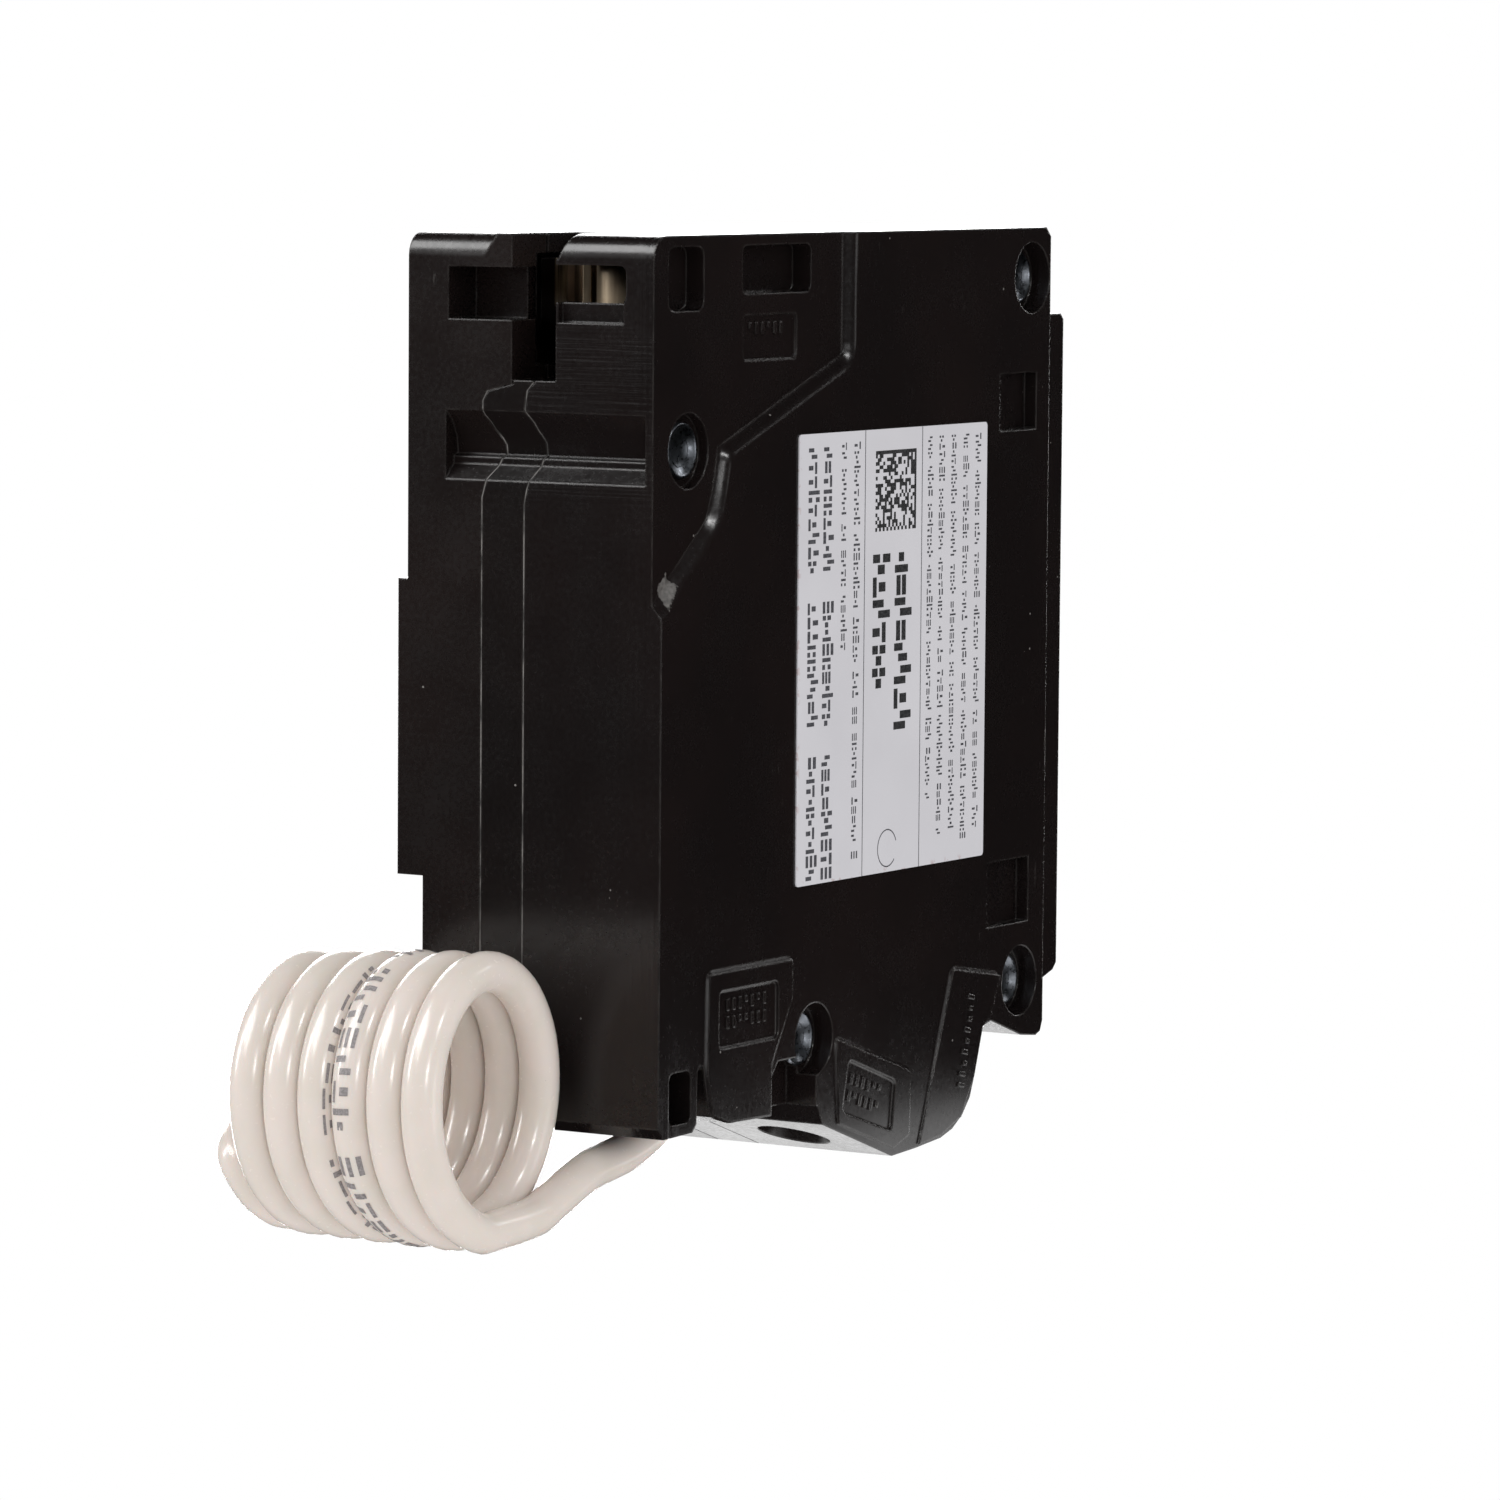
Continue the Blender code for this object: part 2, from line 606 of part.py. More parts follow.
def make_far_case():
    case = part(slab("far_case", BODY, (-HALF_WIDTH - PAD_RISE, 0.0)), MOULDED_BLACK)
    round_outer_edges(case, -HALF_WIDTH - PAD_RISE)
    far_side = -HALF_WIDTH - PAD_RISE
    cut(
        case,
        block("far_upper_step", (-14.0, far_side + 0.95), (-1.0, 70.0), (44.0, 73.0)),
        block("far_lower_step", (-14.0, far_side + 2.5), (-1.0, 36.0), (-8.0, 19.9)),
        plane_cutter("far_seam", FAR_PARTING - SEAM, 1),
        wiggle_cutter("far_wavy_seam", FAR_WIGGLE, -SEAM, 1),
        slab("far_cavity", CAVITY, (-8.9, 1.0)),
        block("far_board_cavity", (-10.6, 1.0), (9.0, 61.2), (21.6, 63.4)),
        block("far_lug_cavity", (-10.9, 1.0), (37.6, 47.0), (-3.0, 21.0)),
        block("far_jaw_cavity", (-2.9, 1.0), (3.5, 14.0), JAW_CAVITY_Z),
        block("stab_pocket", (-7.9, -1.3), (-1.0, 4.0), (65.1, 69.3)),
        stab_slot("far"),
        bus_channel("far"),
        nose_trim("far", (-14.0, -HALF_WIDTH + NOSE_INSET)),
        block("button_hole", (BUTTON_X - 2.3, BUTTON_X + 2.3), (60.0, 70.0), (45.9, 54.1)),
        rod("lamp_hole", (BUTTON_X, 60.0, LAMP_Z), (BUTTON_X, 68.0, LAMP_Z), 1.7, 20),
        driver_hole("power_driver_hole", POWER_X, POWER_SCREW_Z, 45.0),
        wire_hole("power_wire_hole", POWER_X, POWER_WIRE_Y),
    )
    fuse(case, slab("flush_corner", FLUSH_CORNER, (0.0, 2.4), "XZ"))
    for i, (y, z) in enumerate(RIVETS):
        end = (FAR_RIVET_FACE, y, z)
        cut(case, rod(f"far_rivet_recess_{i}", (-14.0, y, z), end, RIVET_RECESS, 24))
    cut(case, *rivet_holes("far", (-14.0, 1.0)))


def make_rivets():
    """Tubular rivets through all three shells, each with a dished head on both sides."""
    for number, (y, z) in enumerate(RIVETS, 1):
        near = NEAR_RIVET_FACE + 0.08
        far = FAR_RIVET_FACE - 0.08
        rise = RIVET_HEAD_RISE
        profile = [
            (0.9, near + rise - 0.5),
            (1.2, near + rise - 0.1),
            (1.9, near + rise),
            (RIVET_HEAD, near + 0.35),
            (RIVET_HEAD, near),
            (RIVET_SHANK, near),
            (RIVET_SHANK, far),
            (RIVET_HEAD, far),
            (RIVET_HEAD, far - 0.35),
            (1.9, far - rise),
            (1.2, far - rise + 0.1),
            (0.9, far - rise + 0.5),
        ]
        part(turned(f"rivet_{number}", profile, (1, 0, 0), (0.0, y, z), 20), RIVET_ZINC)


def make_label():
    part(block("side_label", LABEL_X, LABEL_Y, LABEL_Z), LABEL_WHITE)


# ---- Handle, button and lamp ----


def make_handle():
    y, z = HANDLE_PIVOT
    handle = rod("handle", (HANDLE_X[0], y, z), (HANDLE_X[1], y, z), HUB_RADIUS, 32)
    lever = [(2.0, -3.2), (LEVER_REACH - 3.0, -2.6)]
    lever += arc((LEVER_REACH - 2.2, -0.2), 2.2, -60, 60, 6)
    lever += [(LEVER_REACH - 3.0, 2.6), (2.0, 3.2)]
    lever_x = (HANDLE_X[0] + 0.2, HANDLE_X[1] - 0.2)
    shape = slab("handle_lever", [(y + a, z + b) for a, b in lever], lever_x)
    horn = slab("handle_horn", [(y - 3, z + 2), (y - 6.0, z + 4.2), (y - 3, z + 6)], (1.6, 4.6))
    bore = rod("handle_bore", (-1.0, y, z), (7.0, y, z), 1.65, 16)
    for item in (handle, shape, horn, bore):
        set_axis(item, HANDLE_PIVOT, HANDLE_REST)
    part(handle, HANDLE_BLACK)
    fuse(handle, shape, horn)
    cut(handle, bore)
    part(rod("handle_pivot_pin", (-1.8, y, z), (10.6, y, z), 1.5, 16), PLATED_STEEL)


def make_button_and_lamp():
    x = (BUTTON_X - 2.15, BUTTON_X + 2.15)
    button = part(block("test_button", x, (59.0, 67.2), (46.1, 53.9)), BUTTON_YELLOW)
    bevel = button.modifiers.new("soft_edges", "BEVEL")
    bevel.width = 0.4 * MM
    bevel.segments = 2
    flange = block("button_flange", (BUTTON_X - 2.5, BUTTON_X + 2.5), (58.9, 60.7), (45.0, 55.0))
    stem_start = (BUTTON_X, 55.4, BUTTON_Z)
    stem = rod("button_stem", stem_start, (BUTTON_X, 60.0, BUTTON_Z), 0.9, 12)
    fuse(button, flange, stem)
    coil = helix((BUTTON_X, 54.4, BUTTON_Z), (0, 1, 0), 1.7, 4.0, 4)
    part(tube("test_button_spring", coil, 0.2, 1), SPRING_STEEL)
    leaf = [(52.6, 42.0), (53.3, 46.0), (53.3, 54.0), (52.9, 56.5)]
    part(slab("test_contact_leaf", ribbon(leaf, 0.35), (-9.4, -6.2)), COPPER)
    lens = turned(
        "lamp_lens",
        [(0.0, 61.4), (1.45, 61.4), (1.45, NOSE + 0.1), (1.0, NOSE + 0.5), (0.0, NOSE + 0.6)],
        (0, 1, 0),
        (BUTTON_X, 0.0, LAMP_Z),
        20,
    )
    part(lens, LENS_RED)
    start = (BUTTON_X, 56.2, LAMP_Z)
    part(rod("lamp", start, (BUTTON_X, 60.9, LAMP_Z), 1.25, 16), LENS_RED)


# ---- Line side: jaw, strap and contacts ----

JAW_Z = (62.9, 70.0)


def make_jaw():
    left = [(-2.1, 4.4), (-1.0, 6.3), (-1.5, 8.3)]
    bend = arc((0.3, 8.8), 1.8, 180, 0, 6)
    right = [(2.1, 8.3), (1.6, 6.3), (2.5, 4.4)]
    part(slab("line_jaw", ribbon(left + bend + right, 0.7), JAW_Z, "XY"), TINNED_COPPER)
    hairpin = [(3.9, 9.0)] + arc((6.2, 4.9), 2.3, 180, 360, 10) + [(8.5, 9.0)]
    part(slab("jaw_spring", ribbon(hairpin, 0.6), JAW_Z, "XY"), TINNED_COPPER)


def on_arm(angle, along, across, x):
    y, z = swung(ARM_PIVOT, angle, along, across)
    return x, y, z


def make_line_strap():
    tip = swung(ARM_PIVOT, ARM_CLOSED, 20.5, -3.8)
    bend = swung(ARM_PIVOT, ARM_CLOSED, 28.5, -3.8)
    path = [tip, bend, (19.4, 62.1), (11.6, 62.1)]
    part(slab("line_strap", ribbon(path, 1.2), (0.8, 6.0)), COPPER)
    middle = (ARM_X[0] + ARM_X[1]) / 2
    inner = on_arm(ARM_CLOSED, CONTACT_REACH, -2.25, middle)
    outer = on_arm(ARM_CLOSED, CONTACT_REACH, -3.05, middle)
    part(rod("fixed_contact", inner, outer, 1.7, 16), SILVER)


def make_contact_arm():
    y, z = ARM_PIVOT
    outline = [(-2.2, -1.5), (-1.4, -2.0), (3.0, -2.2), (19.0, -1.3), (27.0, -1.2)]
    outline += [(27.0, 1.2), (19.0, 1.3), (3.0, 2.2), (-1.4, 2.0), (-2.2, 1.5)]
    arm = slab("contact_arm", [(y + a, z + b) for a, b in outline], ARM_X)
    bore = rod("arm_bore", (0.0, y, z), (8.0, y, z), 1.2, 16)
    for item in (arm, bore):
        set_axis(item, ARM_PIVOT, ARM_REST)
    part(arm, COPPER)
    cut(arm, bore)
    part(rod("contact_arm_pin", (-1.8, y, z), (10.6, y, z), 1.0, 16), PLATED_STEEL)
    middle = (ARM_X[0] + ARM_X[1]) / 2
    inner = on_arm(ARM_REST, CONTACT_REACH, -1.35, middle)
    outer = on_arm(ARM_REST, CONTACT_REACH, -2.1, middle)
    part(rod("moving_contact", inner, outer, 1.6, 16), SILVER)


def make_arc_chute():
    path = [(0.4, 15.6), (0.4, 9.4), (9.9, 9.4), (9.9, 15.6)]
    chute = slab("arc_chute_frame", ribbon(path, 0.5), (44.2, 57.6), "XY")
    part(chute, FIBRE_BROWN)
    for number in range(1, 6):
        z = 45.4 + 2.6 * (number - 1)
        notch = [(1.0, 9.9), (9.3, 9.9), (9.3, 15.4), (5.9, 15.4), (5.1, 12.4)]
        notch += [(4.1, 12.4), (3.3, 15.4), (1.0, 15.4)]
        part(slab(f"arc_plate_{number}", notch, (z, z + 1.0), "XY"), PLATED_STEEL)


# ---- Trip unit ----


def make_cradle():
    outline = [(25.0, 22.2), (25.0, 20.2), (31.5, 17.4), (37.0, 13.2), (42.4, 13.2)]
    outline += [(43.0, 18.0), (39.5, 19.6), (36.0, 22.0), (34.6, 25.0), (33.0, 25.0)]
    outline += [(33.2, 21.6), (29.0, 22.4)]
    cradle = slab("cradle", outline, CRADLE_X)
    bore = rod("cradle_bore", (1.0, *CRADLE_PIVOT), (8.0, *CRADLE_PIVOT), 1.35, 16)
    for item in (cradle, bore):
        set_axis(item, CRADLE_PIVOT)
    part(cradle, PLATED_STEEL)
    cut(cradle, bore)
    pin = rod("cradle_pivot_pin", (-1.8, *CRADLE_PIVOT), (10.6, *CRADLE_PIVOT), 1.2, 16)
    part(pin, PLATED_STEEL)


def make_toggle_spring():
    start = Vector((6.9, 33.9, 24.6))
    end = Vector((6.9, 35.3, 42.2))
    way = end - start
    points = helix(start, way.normalized(), 1.4, way.length, 11, 8)
    part(tube("toggle_spring", points, 0.28, 1), SPRING_STEEL)


def make_trip_unit():
    part(block("bimetal_strip", (1.7, 6.7), (21.0, 21.8), (12.0, 40.0)), COPPER)
    yoke = [(0.6, 22.5), (0.6, 19.4), (7.8, 19.4), (7.8, 22.5)]
    part(slab("magnet_yoke", ribbon(yoke, 1.2), (19.0, 31.0), "XY"), PLATED_STEEL)
    plate = block("armature", (0.4, 8.0), (23.6, 24.6), (17.0, 39.0))
    window = block("armature_window", (2.6, 5.6), (22.0, 26.0), (19.4, 23.0))
    knuckle = rod("armature_knuckle", (0.4, *ARMATURE_HINGE), (8.0, *ARMATURE_HINGE), 1.1, 12)
    bore = rod("armature_bore", (-1.0, *ARMATURE_HINGE), (9.0, *ARMATURE_HINGE), 0.65, 12)
    for item in (plate, window, knuckle, bore):
        set_axis(item, ARMATURE_HINGE)
    part(plate, PLATED_STEEL)
    fuse(plate, knuckle)
    cut(plate, window, bore)
    pin = rod("armature_pin", (-1.8, *ARMATURE_HINGE), (8.4, *ARMATURE_HINGE), 0.5, 12)
    part(pin, PLATED_STEEL)
    screw = rod("calibration_screw", (4.2, 14.4, 13.6), (4.2, 20.7, 13.6), 1.1, 14)
    head = rod("calibration_head", (4.2, 13.0, 13.6), (4.2, 14.6, 13.6), 1.9, 14)
    part(screw, PLATED_STEEL)
    fuse(screw, head)
    cut(screw, block("calibration_slot", (2.0, 6.4), (12.0, 13.5), (13.3, 13.9)))


def make_braid():
    route = [(6.3, 45.4, 44.6), (8.4, 43.0, 46.6), (9.5, 38.0, 47.2), (9.6, 32.0, 45.0)]
    route += [(9.5, 27.0, 41.4), (9.3, 23.0, 38.6), (8.2, 21.4, 37.6)]
    part(tube("flexible_braid", smooth_route(route, 3), 0.8, 1), COPPER)


# ---- Terminals and conductors ----


def make_terminal(name, lug_box, post_x, post_z):
    """A box lug, open along Z for the wire, with a clamping screw through its front wall."""
    x, y, z = lug_box
    lug = part(block(f"{name}_lug", x, y, z), PLATED_STEEL)
    mouth_x = (x[0] + LUG_WALL, x[1] - LUG_WALL)
    mouth_y = (y[0] + LUG_WALL, y[1] - 1.3)
    thread_end = (post_x, y[1] + 1, post_z)
    cut(
        lug,
        block(f"{name}_lug_mouth", mouth_x, mouth_y, (z[0] - 1, z[1] + 1)),
        rod(f"{name}_lug_thread", (post_x, y[1] - 2, post_z), thread_end, 1.65, 16),
    )
    tip = y[1] - 1.5
    head = y[1] + 0.3
    profile = [(0.0, tip), (1.5, tip), (1.5, head), (2.2, head), (2.2, head + 1.6)]
    profile += [(1.8, head + 2.0), (0.0, head + 2.0)]
    screw = turned(f"{name}_screw", profile, (0, 1, 0), (post_x, 0.0, post_z), 20)
    slot_x = (post_x - 3, post_x + 3)
    slot_z = (post_z - 0.35, post_z + 0.35)
    slot = block(f"{name}_screw_slot", slot_x, (head + 1.0, head + 3.0), slot_z)
    axis = Vector((post_x, 0.0, post_z)) * MM
    for item in (screw, slot):
        item.data.transform(Matrix.Translation(-axis))
        item.location = axis
    part(screw, PLATED_STEEL)
    cut(screw, slot)


def make_terminals():
    make_terminal("load_neutral", NEUTRAL_LUG, NEUTRAL_X, NEUTRAL_SCREW_Z)
    make_terminal("load_power", POWER_LUG, POWER_X, POWER_SCREW_Z)


def make_conductors():
    load = [(0.6, 24.6, 12.6), (-0.7, 27.5, 11.4), (-0.9, 31.0, 11.2), (-1.3, 34.2, 11.2)]
    load += [(-3.0, 36.6, 11.7), (-5.4, 37.0, 11.9), (-7.6, 37.6, 11.8), (-8.0, 40.0, 10.6)]
    load += [(-7.8, 42.4, 8.4), (-7.5, 43.4, 6.6)]
    part(tube("load_conductor", smooth_route(load, 3), 0.9, 1), COPPER)
    neutral = [(4.4, 18.6, 9.8), (2.0, 18.9, 11.6), (-0.6, 19.0, 13.4), (-2.8, 19.0, 14.0)]
    neutral += [(-5.2, 19.8, 14.2), (-7.2, 23.0, 14.6), (-7.9, 28.0, 14.8), (-7.9, 32.0, 14.6)]
    neutral += [(-7.2, 34.6, 14.4), (-5.2, 35.2, 14.4), (-2.8, 35.0, 14.6), (-0.8, 34.4, 14.4)]
    neutral += [(0.8, 33.6, 12.8), (1.8, 33.2, 10.4), (3.0, 33.0, 8.4), (4.6, 33.0, 7.2)]
    part(tube("neutral_conductor", smooth_route(neutral, 2), 0.9, 1), WIRE_WHITE)
    terminal = rod("pigtail_terminal", (5.9, 15.7, 4.15), (5.9, 18.4, 6.65), 1.75, 16)
    part(terminal, TINNED_COPPER)


# ---- Electronics ----


def make_electronics():
    part(block("circuit_board", (-10.3, -9.1), (12.0, 51.5), (34.0, 62.0)), BOARD_GREEN)
    part(block("control_chip", (-8.8, -7.4), (20.0, 28.0), (50.0, 57.0)), CHIP_BLACK)
    surge = rod("surge_disc", (-8.6, 37.0, 56.6), (-6.0, 37.0, 56.6), 4.2, 24)
    part(surge, DISC_BLUE)
    capacitor = rod("capacitor", (-6.9, 46.6, 36.0), (-6.9, 46.6, 45.0), 1.9, 20)
    part(capacitor, CHIP_BLACK)
    square = [(3.4, -1.4), (6.2, -1.4), (6.2, 1.4), (3.4, 1.4)]
    centre = (-5.25, *SENSOR)
    part(turned("sensor_toroid", square[::-1], (1, 0, 0), centre, 28), DISC_BLUE)
    part(block("trip_solenoid", (-10.2, -4.9), (9.6, 21.0), (22.6, 31.4)), PLATED_STEEL)
    solenoid = bpy.data.objects["trip_solenoid"]
    start = (PLUNGER_X, 11.0, PLUNGER_Z)
    cut(solenoid, rod("solenoid_bore", start, (PLUNGER_X, 23.0, PLUNGER_Z), 1.7, 16))
    rod_start = (PLUNGER_X, 13.4, PLUNGER_Z)
    plunger = rod("solenoid_plunger", rod_start, (PLUNGER_X, 28.0, PLUNGER_Z), 1.35, 14)
    part(plunger, PLATED_STEEL)
    finger = block("plunger_finger", (PLUNGER_X - 1.3, 2.2), (26.3, 27.9), (26.0, 28.0))
    fuse(plunger, finger)


# ---- Neutral lead, coiled behind the breaker ----


def make_pigtail():
    part(tube("pigtail_lead", smooth_route(LEAD_ROUTE, 2), WIRE_RADIUS), WIRE_WHITE)
    outer = COIL_RADIUS + WIRE_RADIUS
    inner = COIL_RADIUS - WIRE_RADIUS
    far, near = COIL_X
    soft = 1.2
    profile = [
        (outer, near - soft),
        (outer - soft, near),
        (inner + soft, near),
        (inner, near - soft),
        (inner, far + soft),
        (inner + soft, far),
        (outer - soft, far),
        (outer, far + soft),
    ]
    part(turned("pigtail_coil", profile[::-1], (1, 0, 0), (0.0, *COIL_CENTRE), 36), WIRE_WHITE)
    part(rod("pigtail_bare_end", *BARE_END, BARE_RADIUS, 12), COPPER)


make_near_case()
make_mid_case()
make_far_case()
make_rivets()
make_label()
make_handle()
make_button_and_lamp()
make_jaw()
make_line_strap()
make_contact_arm()
make_arc_chute()
make_cradle()
make_toggle_spring()
make_trip_unit()
make_braid()
make_terminals()
make_conductors()
make_electronics()
make_pigtail()
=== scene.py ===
"""Looks of a plug-on ground-fault circuit breaker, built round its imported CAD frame.

Axes: +X out of the labelled side, +Y out of the front, +Z towards the line end. Sizes are in
millimetres, and MM turns them into metres.
"""

import math
import random

import bmesh
import bpy
from mathutils import Matrix, Vector


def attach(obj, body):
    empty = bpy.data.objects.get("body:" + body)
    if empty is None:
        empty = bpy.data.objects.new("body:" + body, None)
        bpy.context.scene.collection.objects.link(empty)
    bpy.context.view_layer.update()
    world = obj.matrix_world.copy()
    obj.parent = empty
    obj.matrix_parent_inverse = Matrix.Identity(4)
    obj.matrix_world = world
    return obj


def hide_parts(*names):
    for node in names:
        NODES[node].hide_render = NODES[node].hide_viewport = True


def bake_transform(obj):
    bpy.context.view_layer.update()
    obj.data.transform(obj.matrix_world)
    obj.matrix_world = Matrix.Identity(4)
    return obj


MM = 0.001
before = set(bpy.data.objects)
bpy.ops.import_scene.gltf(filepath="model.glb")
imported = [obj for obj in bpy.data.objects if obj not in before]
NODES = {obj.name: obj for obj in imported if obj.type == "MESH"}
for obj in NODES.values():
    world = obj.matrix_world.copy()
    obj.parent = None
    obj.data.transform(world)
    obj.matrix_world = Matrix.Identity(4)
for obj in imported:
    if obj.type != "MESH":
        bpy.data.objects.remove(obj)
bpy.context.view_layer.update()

# The label's box in Y and Z, and the X of its two faces
LABEL_Y = (20.8, 51.8)
LABEL_Z = (18.5, 55.6)
LABEL_BACK = 12.515
LABEL_FACE = 12.63
LABEL_CORNER = 0.35
# How far print stands off the surface under it
PRINT_GAP = 0.004

# ---- Small geometry helpers ----


def link(item):
    bpy.context.scene.collection.objects.link(item)
    return item


def to_object(name, shape, material=None):
    """A linked object from a bmesh whose points are in millimetres."""
    bmesh.ops.scale(shape, vec=(MM, MM, MM), verts=shape.verts)
    bmesh.ops.recalc_face_normals(shape, faces=shape.faces)
    mesh = bpy.data.meshes.new(name)
    shape.to_mesh(mesh)
    shape.free()
    item = link(bpy.data.objects.new(name, mesh))
    if material is not None:
        mesh.materials.append(material)
    return item


def loft(name, rings):
    """A solid through outlines in (Y, Z) that have the same number of points, each at an X."""
    shape = bmesh.new()
    levels = [[shape.verts.new((x, y, z)) for y, z in outline] for outline, x in rings]
    count = len(levels[0])
    for low, high in zip(levels, levels[1:]):
        for index in range(count):
            after = (index + 1) % count
            shape.faces.new((low[index], low[after], high[after], high[index]))
    shape.faces.new(levels[0][::-1])
    shape.faces.new(levels[-1])
    return to_object(name, shape)


def softened(outline, radius, steps=4):
    """The closed outline with each corner turned into a curve."""
    made = []
    for index, corner in enumerate(outline):
        here = Vector(corner)
        before = Vector(outline[index - 1]) - here
        after = Vector(outline[(index + 1) % len(outline)]) - here
        reach = min(radius, before.length * 0.45, after.length * 0.45)
        start = here + before.normalized() * reach
        end = here + after.normalized() * reach
        for step in range(steps + 1):
            t = step / steps
            made.append(tuple(start * (1 - t) ** 2 + here * 2 * t * (1 - t) + end * t**2))
    return made


def anticlockwise(outline):
    """The closed outline, turned round if it runs clockwise."""
    area = sum(a[0] * b[1] - b[0] * a[1] for a, b in zip(outline, outline[1:] + outline[:1]))
    return outline if area > 0 else outline[::-1]


def grown(outline, by):
    """The closed outline moved outwards by a distance, for an outline that runs anticlockwise."""
    made = []
    count = len(outline)
    for index in range(count):
        before = Vector(outline[index - 1])
        here = Vector(outline[index])
        after = Vector(outline[(index + 1) % count])
        a = (here - before).normalized()
        b = (after - here).normalized()
        normal_a = Vector((a.y, -a.x))
        normal_b = Vector((b.y, -b.x))
        bisector = (normal_a + normal_b).normalized()
        made.append(tuple(here + bisector * by / max(0.4, bisector.dot(normal_a))))
    return made


def rounded_box(y, z, radius, steps=4):
    """A rectangle's outline with round corners, between two Y and two Z."""
    corners = [(y[1], z[0], -90), (y[1], z[1], 0), (y[0], z[1], 90), (y[0], z[0], 180)]
    outline = []
    for corner_y, corner_z, start in corners:
        centre_y = corner_y - radius if corner_y == y[1] else corner_y + radius
        centre_z = corner_z - radius if corner_z == z[1] else corner_z + radius
        for step in range(steps + 1):
            angle = math.radians(start + 90 * step / steps)
            outline.append(
                (centre_y + radius * math.cos(angle), centre_z + radius * math.sin(angle))
            )
    return outline


def circle(centre, radius, steps=48):
    angles = [2 * math.pi * step / steps for step in range(steps)]
    y, z = centre
    return [(y + radius * math.cos(angle), z + radius * math.sin(angle)) for angle in angles]


def lathe(name, profile, centre, material, steps=64):
    """A profile of (radius, height) points turned about an axis along X, through (Y, Z)."""
    shape = bmesh.new()
    rings = []
    for radius, height in profile:
        around = [centre] if radius == 0 else circle(centre, radius, steps)
        rings.append([shape.verts.new((height, y, z)) for y, z in around])
    for first, second in zip(rings, rings[1:]):
        for step in range(steps):
            after = (step + 1) % steps
            corners = [first[step % len(first)], first[after % len(first)]]
            corners += [second[after % len(second)], second[step % len(second)]]
            unique = list(dict.fromkeys(corners))
            if len(unique) > 2:
                shape.faces.new(unique)
    item = to_object(name, shape, material)
    smooth(item, 40)
    return item


def smooth(item, angle):
    """Smooth shading, apart from edges sharper than the angle in degrees."""
    mesh = item.data
    mesh.polygons.foreach_set("use_smooth", [True] * len(mesh.polygons))
    shape = bmesh.new()
    shape.from_mesh(mesh)
    limit = math.radians(angle)
    for edge in shape.edges:
        if len(edge.link_faces) == 2:
            edge.smooth = edge.calc_face_angle(0.0) < limit
    shape.to_mesh(mesh)
    shape.free()


def applied(item):
    """Applies the item's modifiers, and keeps its name and place."""
    graph = bpy.context.evaluated_depsgraph_get()
    mesh = bpy.data.meshes.new_from_object(item.evaluated_get(graph))
    item.modifiers.clear()
    old = item.data
    item.data = mesh
    bpy.data.meshes.remove(old)
    return item


def copied(name, node, material):
    """A new object with the CAD node's shape."""
    mesh = NODES[node].data.copy()
    mesh.materials.clear()
    mesh.materials.append(material)
    return link(bpy.data.objects.new(name, mesh))


def refined(name, node, body, material, width=0.0, cutters=(), added=()):
    """A new piece with the CAD node's shape, more cuts and additions, and finer edges."""
    item = copied(name, node, material)
    merge_flat(item.data)
    for tool in (*added, *cutters):
        step = item.modifiers.new(tool.name, "BOOLEAN")
        step.operation = "DIFFERENCE" if tool in cutters else "UNION"
        step.solver = "EXACT"
        step.object = tool
    if item.modifiers:
        applied(item)
        merge_flat(item.data)
        for tool in (*cutters, *added):
            bpy.data.objects.remove(tool)
    if width > 0:
        bevel = item.modifiers.new("bevel", "BEVEL")
        bevel.width = width * MM
        bevel.segments = 3
        bevel.angle_limit = math.radians(33)
        applied(item)
    crease(item.data)
    item.modifiers.new("normals", "WEIGHTED_NORMAL").keep_sharp = True
    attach(item, body)
    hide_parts(node)
    return item


def flexed(name, node, material):
    """A new piece with the CAD node's shape, shaded smooth and set in its world place."""
    item = copied(name, node, material)
    smooth(item, 70)
    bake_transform(item)
    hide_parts(node)
    return item


def joined_mesh(name, items):
    """One object with the meshes of all the items, which share a material."""
    shape = bmesh.new()
    for item in items:
        shape.from_mesh(item.data)
    mesh = bpy.data.meshes.new(name)
    shape.to_mesh(mesh)
    shape.free()
    mesh.materials.append(items[0].data.materials[0])
    for item in items:
        bpy.data.objects.remove(item)
    return link(bpy.data.objects.new(name, mesh))


def face_width(face):
    """About how wide a long face is, in millimetres."""
    longest = max(edge.calc_length() for edge in face.edges)
    return face.calc_area() / longest / MM


def crease(mesh, narrow=2.2):
    """Smooth shading across narrow facets, and sharp edges between broad faces."""
    mesh.polygons.foreach_set("use_smooth", [True] * len(mesh.polygons))
    shape = bmesh.new()
    shape.from_mesh(mesh)
    for edge in shape.edges:
        if len(edge.link_faces) != 2:
            continue
        facet = min(face_width(face) for face in edge.link_faces) < narrow
        edge.smooth = edge.calc_face_angle(0.0) < math.radians(38.0 if facet else 4.0)
    shape.to_mesh(mesh)
    shape.free()


def merge_flat(mesh):
    """Welds points that coincide, and joins faces that lie in one plane."""
    shape = bmesh.new()
    shape.from_mesh(mesh)
    bmesh.ops.remove_doubles(shape, verts=shape.verts, dist=0.004 * MM)
    bmesh.ops.dissolve_limit(
        shape, angle_limit=math.radians(0.6), verts=shape.verts, edges=shape.edges
    )
    shape.to_mesh(mesh)
    shape.free()


# ---- Materials ----


